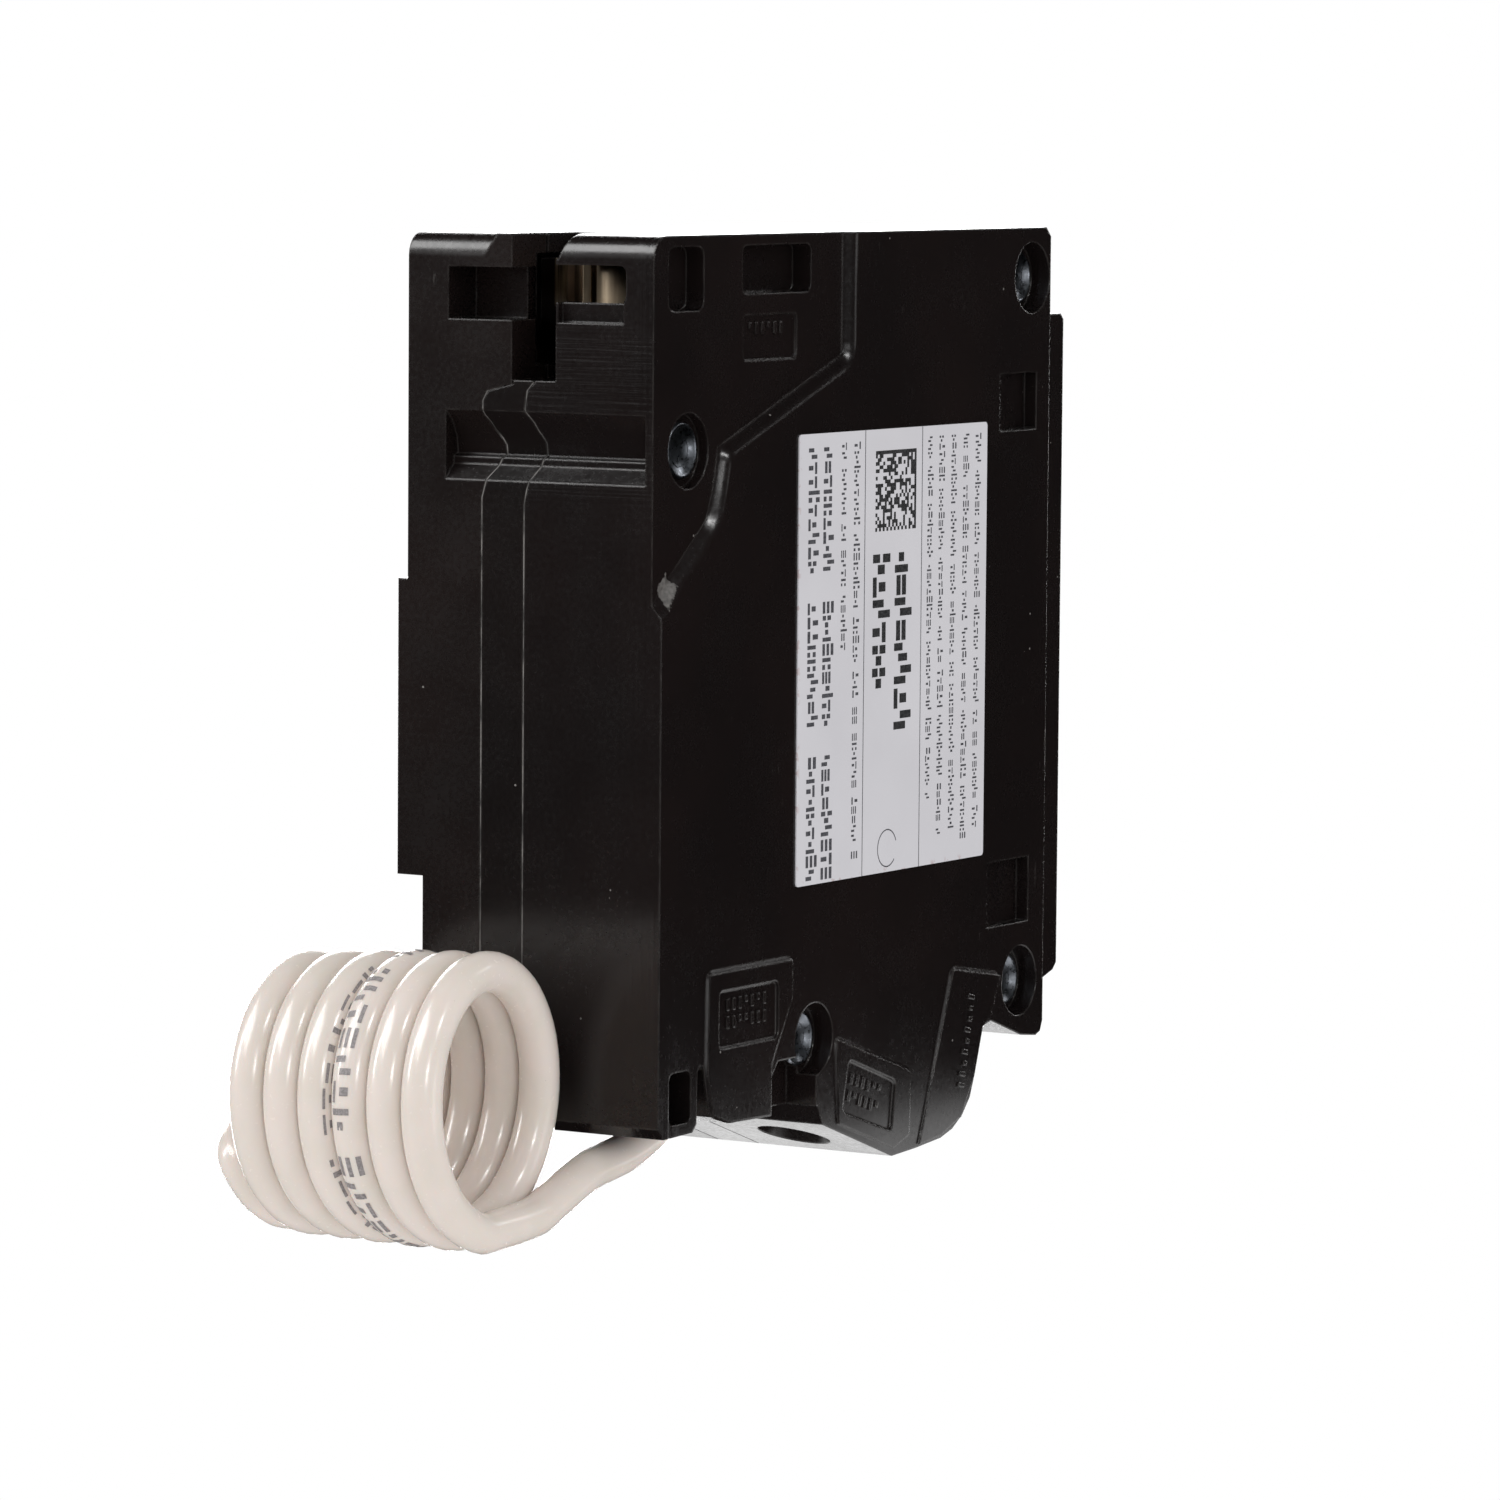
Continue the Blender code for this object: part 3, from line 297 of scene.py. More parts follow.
class Look:
    """A Principled material and the nodes that feed it. Its coordinates are in millimetres."""

    def __init__(self, name, colour, roughness, metallic=0.0, **sockets):
        self.material = bpy.data.materials.new(name)
        self.material.use_nodes = True
        self.tree = self.material.node_tree
        self.shader = self.tree.nodes["Principled BSDF"]
        self.shader.inputs["Base Color"].default_value = (*colour, 1.0)
        self.shader.inputs["Roughness"].default_value = roughness
        self.shader.inputs["Metallic"].default_value = metallic
        for socket, value in sockets.items():
            self.shader.inputs[socket.replace("_", " ")].default_value = value
        place = self.tree.nodes.new("ShaderNodeTexCoord")
        scale = self.tree.nodes.new("ShaderNodeVectorMath")
        scale.operation = "SCALE"
        scale.inputs["Scale"].default_value = 1 / MM
        self.tree.links.new(place.outputs["Object"], scale.inputs[0])
        self.place = scale.outputs[0]
        self.height = None

    def rounded_edges(self, radius):
        """Shades sharp edges as if they had that radius in millimetres."""
        node = self.tree.nodes.new("ShaderNodeBevel")
        node.inputs["Radius"].default_value = radius * MM
        self.height = node.outputs["Normal"]
        face = self.tree.nodes.new("ShaderNodeNewGeometry")
        dot = self.tree.nodes.new("ShaderNodeVectorMath")
        dot.operation = "DOT_PRODUCT"
        self.link(self.height, dot.inputs[0])
        self.link(face.outputs["Normal"], dot.inputs[1])
        self.edge = self.ramp(dot.outputs["Value"], 0.995, 0.93)

    def link(self, source, target):
        self.tree.links.new(source, target)

    def scaled(self, factors):
        """The coordinates stretched by a factor along each axis."""
        node = self.tree.nodes.new("ShaderNodeVectorMath")
        node.operation = "MULTIPLY"
        self.link(self.place, node.inputs[0])
        node.inputs[1].default_value = factors
        return node.outputs[0]

    def axis(self, letter):
        node = self.tree.nodes.new("ShaderNodeSeparateXYZ")
        self.link(self.place, node.inputs[0])
        return node.outputs[letter]

    def math(self, operation, first, second=None):
        node = self.tree.nodes.new("ShaderNodeMath")
        node.operation = operation
        for value, socket in zip((first, second), node.inputs):
            if value is None:
                continue
            if isinstance(value, (int, float)):
                socket.default_value = value
            else:
                self.link(value, socket)
        return node.outputs[0]

    def noise(self, scale, detail=2.0, place=None):
        node = self.tree.nodes.new("ShaderNodeTexNoise")
        self.link(place or self.place, node.inputs["Vector"])
        node.inputs["Scale"].default_value = scale
        node.inputs["Detail"].default_value = detail
        return node.outputs["Fac"]

    def cells(self, scale):
        node = self.tree.nodes.new("ShaderNodeTexVoronoi")
        self.link(self.place, node.inputs["Vector"])
        node.inputs["Scale"].default_value = scale
        return node.outputs["Distance"]

    def ramp(self, value, low, high, to_low=0.0, to_high=1.0):
        node = self.tree.nodes.new("ShaderNodeMapRange")
        self.link(value, node.inputs["Value"])
        node.inputs["From Min"].default_value = low
        node.inputs["From Max"].default_value = high
        node.inputs["To Min"].default_value = to_low
        node.inputs["To Max"].default_value = to_high
        return node.outputs["Result"]

    def mix(self, factor, first, second):
        node = self.tree.nodes.new("ShaderNodeMix")
        node.data_type = "RGBA"
        self.link(factor, node.inputs["Factor"])
        for value, socket in ((first, node.inputs[6]), (second, node.inputs[7])):
            if isinstance(value, tuple):
                socket.default_value = (*value, 1.0)
            else:
                self.link(value, socket)
        return node.outputs[2]

    def bump(self, height, distance, strength):
        """Adds a bump of that height in millimetres on top of the earlier ones."""
        node = self.tree.nodes.new("ShaderNodeBump")
        node.inputs["Strength"].default_value = strength
        node.inputs["Distance"].default_value = distance * MM
        self.link(height, node.inputs["Height"])
        if self.height is not None:
            self.link(self.height, node.inputs["Normal"])
        self.height = node.outputs["Normal"]
        self.link(self.height, self.shader.inputs["Normal"])

    def colour(self, source):
        self.link(source, self.shader.inputs["Base Color"])

    def roughness(self, source):
        self.link(source, self.shader.inputs["Roughness"])


def dust_and_lint(look):
    """Single grains of dust, and short hairs in patches."""
    grains = look.math("LESS_THAN", look.cells(0.42), 0.04)
    grains = look.math("MULTIPLY", grains, look.math("GREATER_THAN", look.noise(0.27, 2.0), 0.56))
    hairs = look.noise(1.6, 1.0, look.scaled((1.0, 1.0, 0.22)))
    hairs = look.math("COMPARE", hairs, 0.5)
    hairs.node.inputs[2].default_value = 0.0025
    patch = look.ramp(look.noise(0.23, 2.0, look.scaled((1.6, 1.0, 1.0))), 0.63, 0.73)
    hairs = look.math("MULTIPLY", hairs, look.math("MULTIPLY", patch, 0.12))
    return look.math("MAXIMUM", grains, hairs)


def gate_mark(look):
    """The rubbed end of the wall round the line field, beside the back edge."""
    across = look.math("DIVIDE", look.math("SUBTRACT", look.axis("Y"), 1.75), 1.15)
    along = look.math("DIVIDE", look.math("SUBTRACT", look.axis("Z"), 44.2), 1.2)
    slanted = look.math("ADD", across, look.math("MULTIPLY", along, -0.25))
    upper = look.math("MAXIMUM", along, look.math("MULTIPLY", along, -0.55))
    away = look.math("ADD", look.math("ABSOLUTE", slanted), upper)
    grainy = look.math("ADD", away, look.ramp(look.noise(4.0, 2.0), 0.3, 0.7, -0.15, 0.2))
    patchy = look.ramp(look.noise(3.4, 3.0), 0.35, 0.65, 0.45, 0.9)
    inside = look.math("MULTIPLY", look.ramp(grainy, 0.95, 0.75), patchy)
    return look.math("MULTIPLY", inside, look.math("GREATER_THAN", look.axis("X"), 10.9))


def back_brushing(look):
    """Fine level lines on the back wall over the channel, and upright ones at its near edge."""
    height = look.axis("Z")
    band = look.math("MULTIPLY", look.ramp(height, 49.0, 51.5), look.ramp(height, 66.0, 63.0))
    band = look.math("MULTIPLY", band, look.math("LESS_THAN", look.axis("Y"), 0.4))
    lines = look.noise(3.2, 3.0, look.scaled((0.03, 0.0, 1.0)))
    look.bump(look.math("MULTIPLY", lines, band), 0.05, 0.8)
    edge = look.ramp(look.axis("X"), 9.4, 10.6)
    edge = look.math("MULTIPLY", edge, look.ramp(look.axis("Y"), 3.2, 2.2))
    upright = look.noise(1.9, 2.0, look.scaled((1.0, 0.6, 0.02)))
    look.bump(look.math("MULTIPLY", upright, edge), 0.06, 0.8)


def moulded_plastic(name, colour, low, high, back_marks=False):
    """Glossy moulded plastic with faint flow ripples, dust and fine scratches."""
    look = Look(name, colour, low, Specular_IOR_Level=0.42)
    look.rounded_edges(0.22)
    cloud = look.noise(0.16, 3.0)
    fine = look.noise(2.6, 4.0)
    marks = dust_and_lint(look)
    if back_marks:
        marks = look.math("MAXIMUM", marks, gate_mark(look))
    haze = look.ramp(look.noise(0.05, 4.0), 0.42, 0.62, 0.0, 0.35)
    warm = tuple(value * factor for value, factor in zip(colour, (2.0, 1.7, 1.6)))
    base = look.mix(haze, colour, warm)
    rubbed = look.noise(0.8, 3.0, look.scaled((1.0, 1.0, 0.6)))
    rubbed = look.math("MULTIPLY", look.edge, look.ramp(rubbed, 0.38, 0.6, 0.14, 0.5))
    base = look.mix(rubbed, base, (0.075, 0.068, 0.064))
    look.colour(look.mix(marks, base, (0.16, 0.15, 0.14)))
    sheen = look.ramp(cloud, 0.3, 0.7, low, high)
    sheen = look.math("ADD", sheen, look.ramp(fine, 0.3, 0.7, -0.04, 0.05))
    look.roughness(look.math("ADD", sheen, look.math("MULTIPLY", marks, 0.4)))
    look.bump(cloud, 0.05, 0.35)
    look.bump(look.noise(0.75, 1.0, look.scaled((0.5, 0.5, 0.16))), 0.006, 0.5)
    look.bump(fine, 0.0012, 0.5)
    if back_marks:
        back_brushing(look)
    return look.material


def metal(name, colour, roughness, brushed=(1.0, 1.0, 1.0), tarnish=(0.5, 0.4, 0.3), amount=0.3):
    look = Look(name, colour, roughness, 1.0)
    lines = look.noise(3.0, 3.0, look.scaled(brushed))
    stain = look.ramp(look.noise(0.5, 4.0), 0.45, 0.7, 0.0, amount)
    dark = tuple(a * b for a, b in zip(colour, tarnish))
    look.colour(look.mix(stain, colour, dark))
    look.roughness(look.ramp(lines, 0.3, 0.7, roughness * 0.75, roughness * 1.35))
    look.bump(lines, 0.004, 0.6)
    look.bump(look.noise(1.1, 2.0), 0.01, 0.4)
    return look.material


def coated(name, colour, roughness, grain=1.5, depth=0.01, **sockets):
    """Paint, fibre, resin or film with a mottled colour and a fine grain."""
    look = Look(name, colour, roughness, **sockets)
    mottle = look.ramp(look.noise(0.6, 4.0), 0.35, 0.7)
    darker = tuple(value * 0.72 for value in colour)
    look.colour(look.mix(mottle, colour, darker))
    fine = look.noise(grain, 3.0)
    look.roughness(look.ramp(fine, 0.3, 0.7, roughness - 0.06, roughness + 0.08))
    look.bump(fine, depth, 0.5)
    return look.material


def wire_insulation():
    """Warm white extruded insulation, a little translucent, with handling marks."""
    white = (0.79, 0.71, 0.655)
    look = Look("wire_white", white, 0.34, Specular_IOR_Level=0.5)
    look.shader.inputs["Subsurface Weight"].default_value = 0.25
    look.shader.inputs["Subsurface Radius"].default_value = (1.0, 0.55, 0.35)
    look.shader.inputs["Subsurface Scale"].default_value = 0.0012
    cloud = look.ramp(look.noise(0.22, 4.0), 0.4, 0.65)
    tone = look.mix(cloud, white, (0.75, 0.685, 0.62))
    specks = look.math("LESS_THAN", look.cells(0.8), 0.035)
    specks = look.math("MULTIPLY", specks, look.math("GREATER_THAN", look.noise(0.4), 0.55))
    look.colour(look.mix(look.math("MULTIPLY", specks, 0.5), tone, (0.45, 0.38, 0.32)))
    fine = look.noise(2.2, 4.0)
    look.roughness(look.ramp(fine, 0.3, 0.7, 0.17, 0.28))
    look.bump(look.noise(0.5, 3.0), 0.03, 0.35)
    look.bump(fine, 0.003, 0.5)
    return look.material


def label_film():
    look = Look("label_white", (0.62, 0.61, 0.64), 0.42, Specular_IOR_Level=0.3)
    cloud = look.ramp(look.noise(0.08, 3.0), 0.35, 0.65)
    tone = look.mix(cloud, (0.625, 0.615, 0.645), (0.59, 0.58, 0.61))
    edge = look.math("SUBTRACT", look.axis("Y"), LABEL_Y[0])
    low = look.math("SUBTRACT", look.axis("Z"), LABEL_Z[0])
    worn = look.ramp(look.math("MINIMUM", edge, low), 0.5, 0.0)
    stain = look.math("GREATER_THAN", look.noise(1.3, 3.0), 0.6)
    worn = look.math("MULTIPLY", look.math("MULTIPLY", worn, stain), 0.6)
    look.colour(look.mix(worn, tone, (0.42, 0.30, 0.30)))
    look.bump(look.noise(3.5, 2.0), 0.004, 0.4)
    look.bump(look.noise(0.12, 2.0), 0.12, 0.25)
    return look.material


def ink(name, colour):
    look = Look(name, colour, 0.6)
    patchy = look.ramp(look.noise(5.0, 2.0), 0.35, 0.75)
    lighter = tuple(min(1.0, value * 1.6 + 0.03) for value in colour)
    look.colour(look.mix(patchy, colour, lighter))
    return look.material


def seam_painted_highlight():
    # Painted highlight: broken lighter patches in the joints stand for the highlights along the
    # seams' edges.
    look = Look("moulded_black_seam", (0.02, 0.018, 0.017), 0.6)
    broken = look.ramp(look.noise(0.7, 4.0, look.scaled((1.0, 1.0, 0.7))), 0.4, 0.62)
    look.colour(look.mix(broken, (0.03, 0.027, 0.025), (0.2, 0.185, 0.175)))
    return look.material


def jaw_metal_painted_shade():
    """Plated jaw with painted light and shade: near black in the slot and under the sill, a left
    leaf painted dark below Y 6.2 and light above Y 6.6, a tan right part, and lighter vertical
    streaks.
    """
    look = Look("tinned_copper_jaw", (0.1, 0.08, 0.06), 0.42, 1.0)
    across = look.axis("X")
    # Painted shade and light on the left leaf: dark below Y 6.2, light above Y 6.6; tan to the
    # right of X 1.4.
    deep = look.ramp(look.axis("Y"), 6.2, 6.6)
    painted_left_leaf = look.mix(deep, (0.03, 0.026, 0.022), (0.36, 0.3, 0.26))
    tone = look.mix(look.ramp(across, 1.2, 1.4), painted_left_leaf, (0.3, 0.235, 0.165))
    # Painted shade: near black wherever the slot or the sill hides the jaw from the window.
    over_sill = look.ramp(look.axis("Z"), 66.0, 66.5)
    window = look.math("MULTIPLY", look.ramp(across, -1.2, -1.05), over_sill)
    lines = look.ramp(look.noise(2.5, 3.0, look.scaled((1.0, 1.0, 0.05))), 0.35, 0.7)
    streaked = look.mix(look.math("MULTIPLY", lines, 0.45), tone, (0.45, 0.37, 0.27))
    look.colour(look.mix(window, (0.006, 0.005, 0.005), streaked))
    look.bump(lines, 0.01, 0.5)
    return look.material


BLACK = (0.0074, 0.0054, 0.0053)
CASE_NEAR = moulded_plastic("moulded_black_near", BLACK, 0.2, 0.27, True)
CASE_MID = moulded_plastic("moulded_black_mid", (0.0070, 0.0052, 0.0050), 0.2, 0.27)
CASE_FAR = moulded_plastic("moulded_black_far", (0.0088, 0.0060, 0.0056), 0.22, 0.3)
HANDLE = moulded_plastic("handle_black", (0.010, 0.010, 0.010), 0.3, 0.38)
ZINC = metal("rivet_zinc", (0.22, 0.235, 0.26), 0.3, (1.0, 1.0, 1.0), (0.7, 0.75, 0.8))
STEEL = metal("plated_steel", (0.62, 0.60, 0.55), 0.3, (0.2, 1.0, 1.0))
SPRING = metal("spring_steel", (0.42, 0.42, 0.43), 0.28)
COPPER = metal("copper", (0.78, 0.38, 0.22), 0.3, (1.0, 0.2, 1.0), (0.55, 0.4, 0.35), 0.5)
TINNED = metal("tinned_copper", (0.30, 0.24, 0.17), 0.42, (1.0, 1.0, 0.06), (0.7, 0.6, 0.5), 0.4)
SILVER = metal("silver", (0.85, 0.84, 0.80), 0.25)
BUTTON = coated("button_yellow", (0.74, 0.55, 0.08), 0.35)
LENS = coated("lens_red", (0.65, 0.03, 0.02), 0.12, 0.8, 0.002, Transmission_Weight=0.5)
SEAM_PAINTED_HIGHLIGHT = seam_painted_highlight()
JAW_PAINTED_SHADE = jaw_metal_painted_shade()
BOARD = coated("board_green", (0.02, 0.16, 0.06), 0.4)
CHIP = coated("chip_black", (0.02, 0.02, 0.022), 0.5, 3.0)
DISC = coated("disc_blue", (0.04, 0.12, 0.42), 0.35)
FIBRE = coated("fibre_brown", (0.33, 0.19, 0.10), 0.75, 4.0, 0.03)
WIRE = wire_insulation()
LABEL = label_film()
LABEL_INK = ink("label_ink_grey", (0.045, 0.045, 0.055))
CODE_INK = ink("label_ink_black", (0.012, 0.012, 0.014))
WIRE_INK = ink("wire_ink_grey", (0.21, 0.19, 0.19))

# ---- Camera, floor and lights ----

CAMERA_PLACE = (314.01, -480.02, 83.18)
FOCAL_LENGTH = 172.2
# Yaw, pitch and roll in degrees
CAMERA_TURN = (31.416, 5.219, 0.44)


def make_camera():
    data = bpy.data.cameras.new("camera")
    data.sensor_width = 36.0
    data.lens = FOCAL_LENGTH
    data.clip_start = 0.01
    camera = link(bpy.data.objects.new("camera", data))
    yaw, pitch, roll = (math.radians(angle) for angle in CAMERA_TURN)
    ahead = Vector(
        (-math.sin(yaw) * math.cos(pitch), math.cos(yaw) * math.cos(pitch), -math.sin(pitch))
    )
    right = Vector((math.cos(yaw), math.sin(yaw), 0.0))
    up = right.cross(ahead)
    turned_right = right * math.cos(roll) + up * math.sin(roll)
    turned_up = up * math.cos(roll) - right * math.sin(roll)
    turn = Matrix((turned_right, turned_up, -ahead)).transposed().to_4x4()
    camera.matrix_world = Matrix.Translation(Vector(CAMERA_PLACE) * MM) @ turn
    bpy.context.scene.camera = camera


FLOOR_Z = -8.25
FLOOR_HALF = 4000
# Name, place, target, size in metres, power in watts, whether it lights matt surfaces too
LIGHTS = [
    ("softbox_top", (-330, -420, 560), (0, 20, 40), (0.62, 0.36), 6.4, False),
    ("card_behind", (-520, 900, 140), (0, 20, 30), (1.3, 0.9), 30.0, False),
    ("card_below", (0, 55, -8.1), (0, 55, 50), (0.065, 0.06), 0.02, False),
    ("key_left", (-900, -500, 400), (0, 0, 20), (0.16, 0.4), 4.0, False),
    ("fill_left", (-900, -700, 500), (0, 0, 20), (0.9, 0.7), 1.4, True),
    ("strip_right_low", (880, 190, 0), (10, 20, 20), (0.3, 0.3), 0.55, False),
    ("glint_high", (694, -116, 624), (10, 10, 53), (0.1, 0.1), 1.8, False),
    ("glint_low", (705, -510, 325), (10, 10, 53), (0.12, 0.1), 1.8, False),
    ("strip_top_right", (340, 762, 386), (10, 10, 20), (0.4, 0.12), 0.55, False),
]


def area_light(name, place, target, size, power, matt):
    data = bpy.data.lights.new(name, "AREA")
    data.shape = "RECTANGLE"
    data.size, data.size_y = size
    data.energy = power
    light = link(bpy.data.objects.new(name, data))
    away = Vector(place) - Vector(target)
    light.location = Vector(place) * MM
    light.rotation_euler = away.to_track_quat("Z", "Y").to_euler()
    light.visible_camera = False
    light.visible_diffuse = matt


def make_stage():
    """A white world and floor that cast no shadow, and the lights."""
    world = bpy.data.worlds.new("studio")
    world.use_nodes = True
    back = world.node_tree.nodes["Background"]
    back.inputs["Color"].default_value = (1.0, 1.0, 1.0, 1.0)
    back.inputs["Strength"].default_value = 1.0
    world.cycles_visibility.glossy = False
    bpy.context.scene.world = world
    bpy.context.scene.view_settings.view_transform = "Standard"
    floor_look = Look("floor", (0.0, 0.0, 0.0), 1.0)
    floor_look.shader.inputs["Specular IOR Level"].default_value = 0.0
    floor_look.shader.inputs["Emission Color"].default_value = (1.0, 1.0, 1.0, 1.0)
    floor_look.shader.inputs["Emission Strength"].default_value = 1.0
    shape = bmesh.new()
    bmesh.ops.create_grid(shape, x_segments=1, y_segments=1, size=FLOOR_HALF)
    bmesh.ops.translate(shape, vec=(0, 0, FLOOR_Z), verts=shape.verts)
    floor = to_object("floor", shape, floor_look.material)
    floor.visible_glossy = False
    for row in LIGHTS:
        area_light(*row)


make_camera()
make_stage()

# ---- Neutral lead: one cord, its print and its bare end ----

WIRE_DIAMETER = 3.26
RING_COUNT = 6
RING_PITCH = 3.27
RING_START_X = 5.6
RING_Y = -12.6
RING_HALF_WIDTH = 9.58
# Half height and middle height of the first ring, and how much each falls along the coil
RING_HALF_HEIGHT = (10.36, 0.58)
RING_MIDDLE = (4.0, 0.41)
PER_TURN = 60
TURN_LENGTH = 2 * math.pi * (RING_HALF_WIDTH + WIRE_DIAMETER / 2)
BARE_START = (-18.45, -11.5, 1.8)
BARE_END = (-18.7, -5.9, 3.8)
STRAND_RADIUS = 0.335
STRAND_SPREAD = 0.68
STRAND_TWIST = 0.55
STRAND_STEPS = 40
# The lead from its hole in the case to the coil, and from the coil to its bare end
LEAD = [
    (5.9, 15.4, 3.8),
    (5.9, 13.2, 1.7),
    (5.9, 11.0, 0.1),
    (5.8, 8.4, -1.2),
    (5.7, 5.5, -2.15),
    (5.65, 2.9, -2.6),
    (5.6, 0.4, -3.0),
    (5.6, -2.3, -3.85),
    (5.6, -5.0, -4.85),
    (5.6, -8.0, -5.75),
]
TAIL = [
    (-14.3, -14.6, -5.6),
    (-15.0, -16.2, -4.3),
    (-15.9, -17.2, -2.2),
    (-16.8, -16.6, -1.2),
    (-17.6, -14.8, -0.2),
    (-18.2, -12.6, 1.0),
    (-18.5, -11.2, 2.0),
]


def ring_point(turn):
    """The coil's centre line, by turns from the bottom of its first ring."""
    share = turn / RING_COUNT
    angle = 2 * math.pi * turn
    half_height = RING_HALF_HEIGHT[0] - RING_HALF_HEIGHT[1] * share
    middle = RING_MIDDLE[0] - RING_MIDDLE[1] * share
    x = RING_START_X - RING_PITCH * turn
    y = RING_Y - RING_HALF_WIDTH * math.sin(angle)
    return Vector((x, y, middle - half_height * math.cos(angle)))


def through(points, steps):
    """A smooth line through the points."""
    points = [Vector(point) for point in points]
    knots = [points[0] * 2 - points[1]] + points + [points[-1] * 2 - points[-2]]
    made = []
    for index in range(1, len(knots) - 2):
        a, b, c, d = knots[index - 1 : index + 3]
        for step in range(steps):
            t = step / steps
            near = b * 2 + (c - a) * t
            far = (a * 2 - b * 5 + c * 4 - d) * t**2 + (b * 3 - a - c * 3 + d) * t**3
            made.append((near + far) / 2)
    return made + [knots[-2]]


coil = [ring_point(step / PER_TURN) for step in range(2, RING_COUNT * PER_TURN + 1)]
CORD_LINE = through(LEAD + coil[0:1], 5)[:-1] + coil[:-1] + through(coil[-1:] + TAIL, 5)


def make_cord():
    """The insulated lead, from inside the case through its coil."""
    curve = bpy.data.curves.new("neutral_lead", "CURVE")
    curve.dimensions = "3D"
    curve.bevel_depth = WIRE_DIAMETER / 2 * MM
    curve.bevel_resolution = 8
    curve.use_fill_caps = True
    spline = curve.splines.new("POLY")
    spline.points.add(len(CORD_LINE) - 1)
    for point, place in zip(spline.points, CORD_LINE):
        point.co = (*(place * MM), 1.0)
    spline.use_smooth = True
    curve.materials.append(WIRE)
    cord = link(bpy.data.objects.new("neutral_lead", curve))
    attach(cord, "case")
    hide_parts("pigtail_lead", "pigtail_coil")
    return cord


def make_strands():
    """The stripped end: a core strand with six more laid round it in a long twist."""
    start = Vector(BARE_START)
    end = Vector(BARE_END)
    way = (end - start).normalized()
    side = way.orthogonal().normalized()
    other = way.cross(side)
    curve = bpy.data.curves.new("bare_strands", "CURVE")
    curve.dimensions = "3D"
    curve.bevel_depth = STRAND_RADIUS * MM
    curve.bevel_resolution = 3
    curve.use_fill_caps = True
    for strand in range(7):
        spline = curve.splines.new("POLY")
        spline.points.add(STRAND_STEPS)
        for index, point in enumerate(spline.points):
            along = start + (end - start) * (index / STRAND_STEPS)
            angle = 2 * math.pi * (strand / 6 + STRAND_TWIST * index / STRAND_STEPS)
            if strand < 6:
                out = side * math.cos(angle) + other * math.sin(angle)
                along = along + out * STRAND_SPREAD
            point.co = (*(along * MM), 1.0)
        spline.use_smooth = True
    curve.materials.append(COPPER)
    strands = link(bpy.data.objects.new("bare_strands", curve))
    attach(strands, "case")
    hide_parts("pigtail_bare_end")
    return strands


# ---- Generic marks in place of print: strokes that form no letters ----

# Rectangles in a cell one unit wide and high, kept apart so that no mark is a letter
MARKS = [
    ((0.0, 0.0, 0.3, 1.0), (0.62, 0.0, 1.0, 0.28), (0.62, 0.7, 1.0, 1.0)),
    ((0.0, 0.0, 1.0, 0.18), (0.0, 0.4, 1.0, 0.58), (0.0, 0.8, 1.0, 1.0)),
    ((0.0, 0.0, 0.3, 0.6), (0.6, 0.35, 0.9, 1.0)),
    ((0.7, 0.0, 1.0, 1.0), (0.0, 0.33, 0.38, 0.66)),
    ((0.0, 0.0, 1.0, 0.2), (0.3, 0.5, 0.7, 0.95)),
    ((0.0, 0.15, 1.0, 0.38), (0.0, 0.62, 1.0, 0.85)),
    ((0.0, 0.4, 0.3, 1.0), (0.6, 0.0, 0.9, 0.65)),
    ((0.0, 0.8, 1.0, 1.0), (0.3, 0.0, 0.65, 0.5)),
    ((0.0, 0.0, 0.35, 0.35), (0.6, 0.3, 1.0, 0.65), (0.0, 0.62, 0.35, 1.0)),
]


# A mark's width, the space between words and the heights of marks, as shares of a full one
MARK_WIDTH = 0.78
WORD_SPACE = 0.8
MARK_HEIGHTS = (0.74, 0.74, 1.0)


def mark_strokes(draw, length, height, advance, words):
    """Rectangles (low along, low across, high along, high across) of one row of marks."""
    made = []
    along = 0.0
    width = advance * MARK_WIDTH
    while along + width < length:
        for _ in range(draw.randint(*words)):
            if along + width > length:
                break
            rise = height * draw.choice(MARK_HEIGHTS)
            for a0, b0, a1, b1 in draw.choice(MARKS):
                made.append((along + a0 * width, b0 * rise, along + a1 * width, b1 * rise))
            along += advance
        along += advance * WORD_SPACE
    return made


def plates(name, rectangles, place, thickness, material):
    """Thin plates, each rectangle set on the surface by the function place(along, across, up)."""
    shape = bmesh.new()
    for a0, b0, a1, b1 in rectangles:
        corners = [(a0, b0), (a1, b0), (a1, b1), (a0, b1)]
        low = [shape.verts.new(place(a, b, 0.0)) for a, b in corners]
        high = [shape.verts.new(place(a, b, thickness)) for a, b in corners]
        shape.faces.new(low[::-1])
        shape.faces.new(high)
        for index in range(4):
            after = (index + 1) % 4
            shape.faces.new((low[index], low[after], high[after], high[index]))
    return to_object(name, shape, material)


# Rows of print on the wire: first and last turn, how far round the wire, and height
PRINT_RUNS = [(1.97, 2.55, 0.15, 2.2), (2.99, 3.5, 2.1, 1.5)]
# The height that the print faces away from, the advance of a mark and its longest flat part
PRINT_MIDDLE = 3.8
PRINT_ADVANCE = 2.1
PRINT_FLAT = 0.35
PRINT_THICKNESS = 0.008


def on_wire(start, lean):
    """The function that sets print on the wire, from a turn and so far round the wire."""
    radius = WIRE_DIAMETER / 2

    def place(along, across, up):
        turn = start + along / TURN_LENGTH
        centre = ring_point(turn)
        ahead = (ring_point(turn + 0.002) - centre).normalized()
        outward = Vector((0.0, centre.y - RING_Y, centre.z - PRINT_MIDDLE)).normalized()
        across_way = ahead.cross(outward).normalized()
        outward = across_way.cross(ahead).normalized()
        angle = (across + lean) / radius
        way = outward * math.cos(angle) + across_way * math.sin(angle)
        return centre + way * (radius + PRINT_GAP + up)

    return place


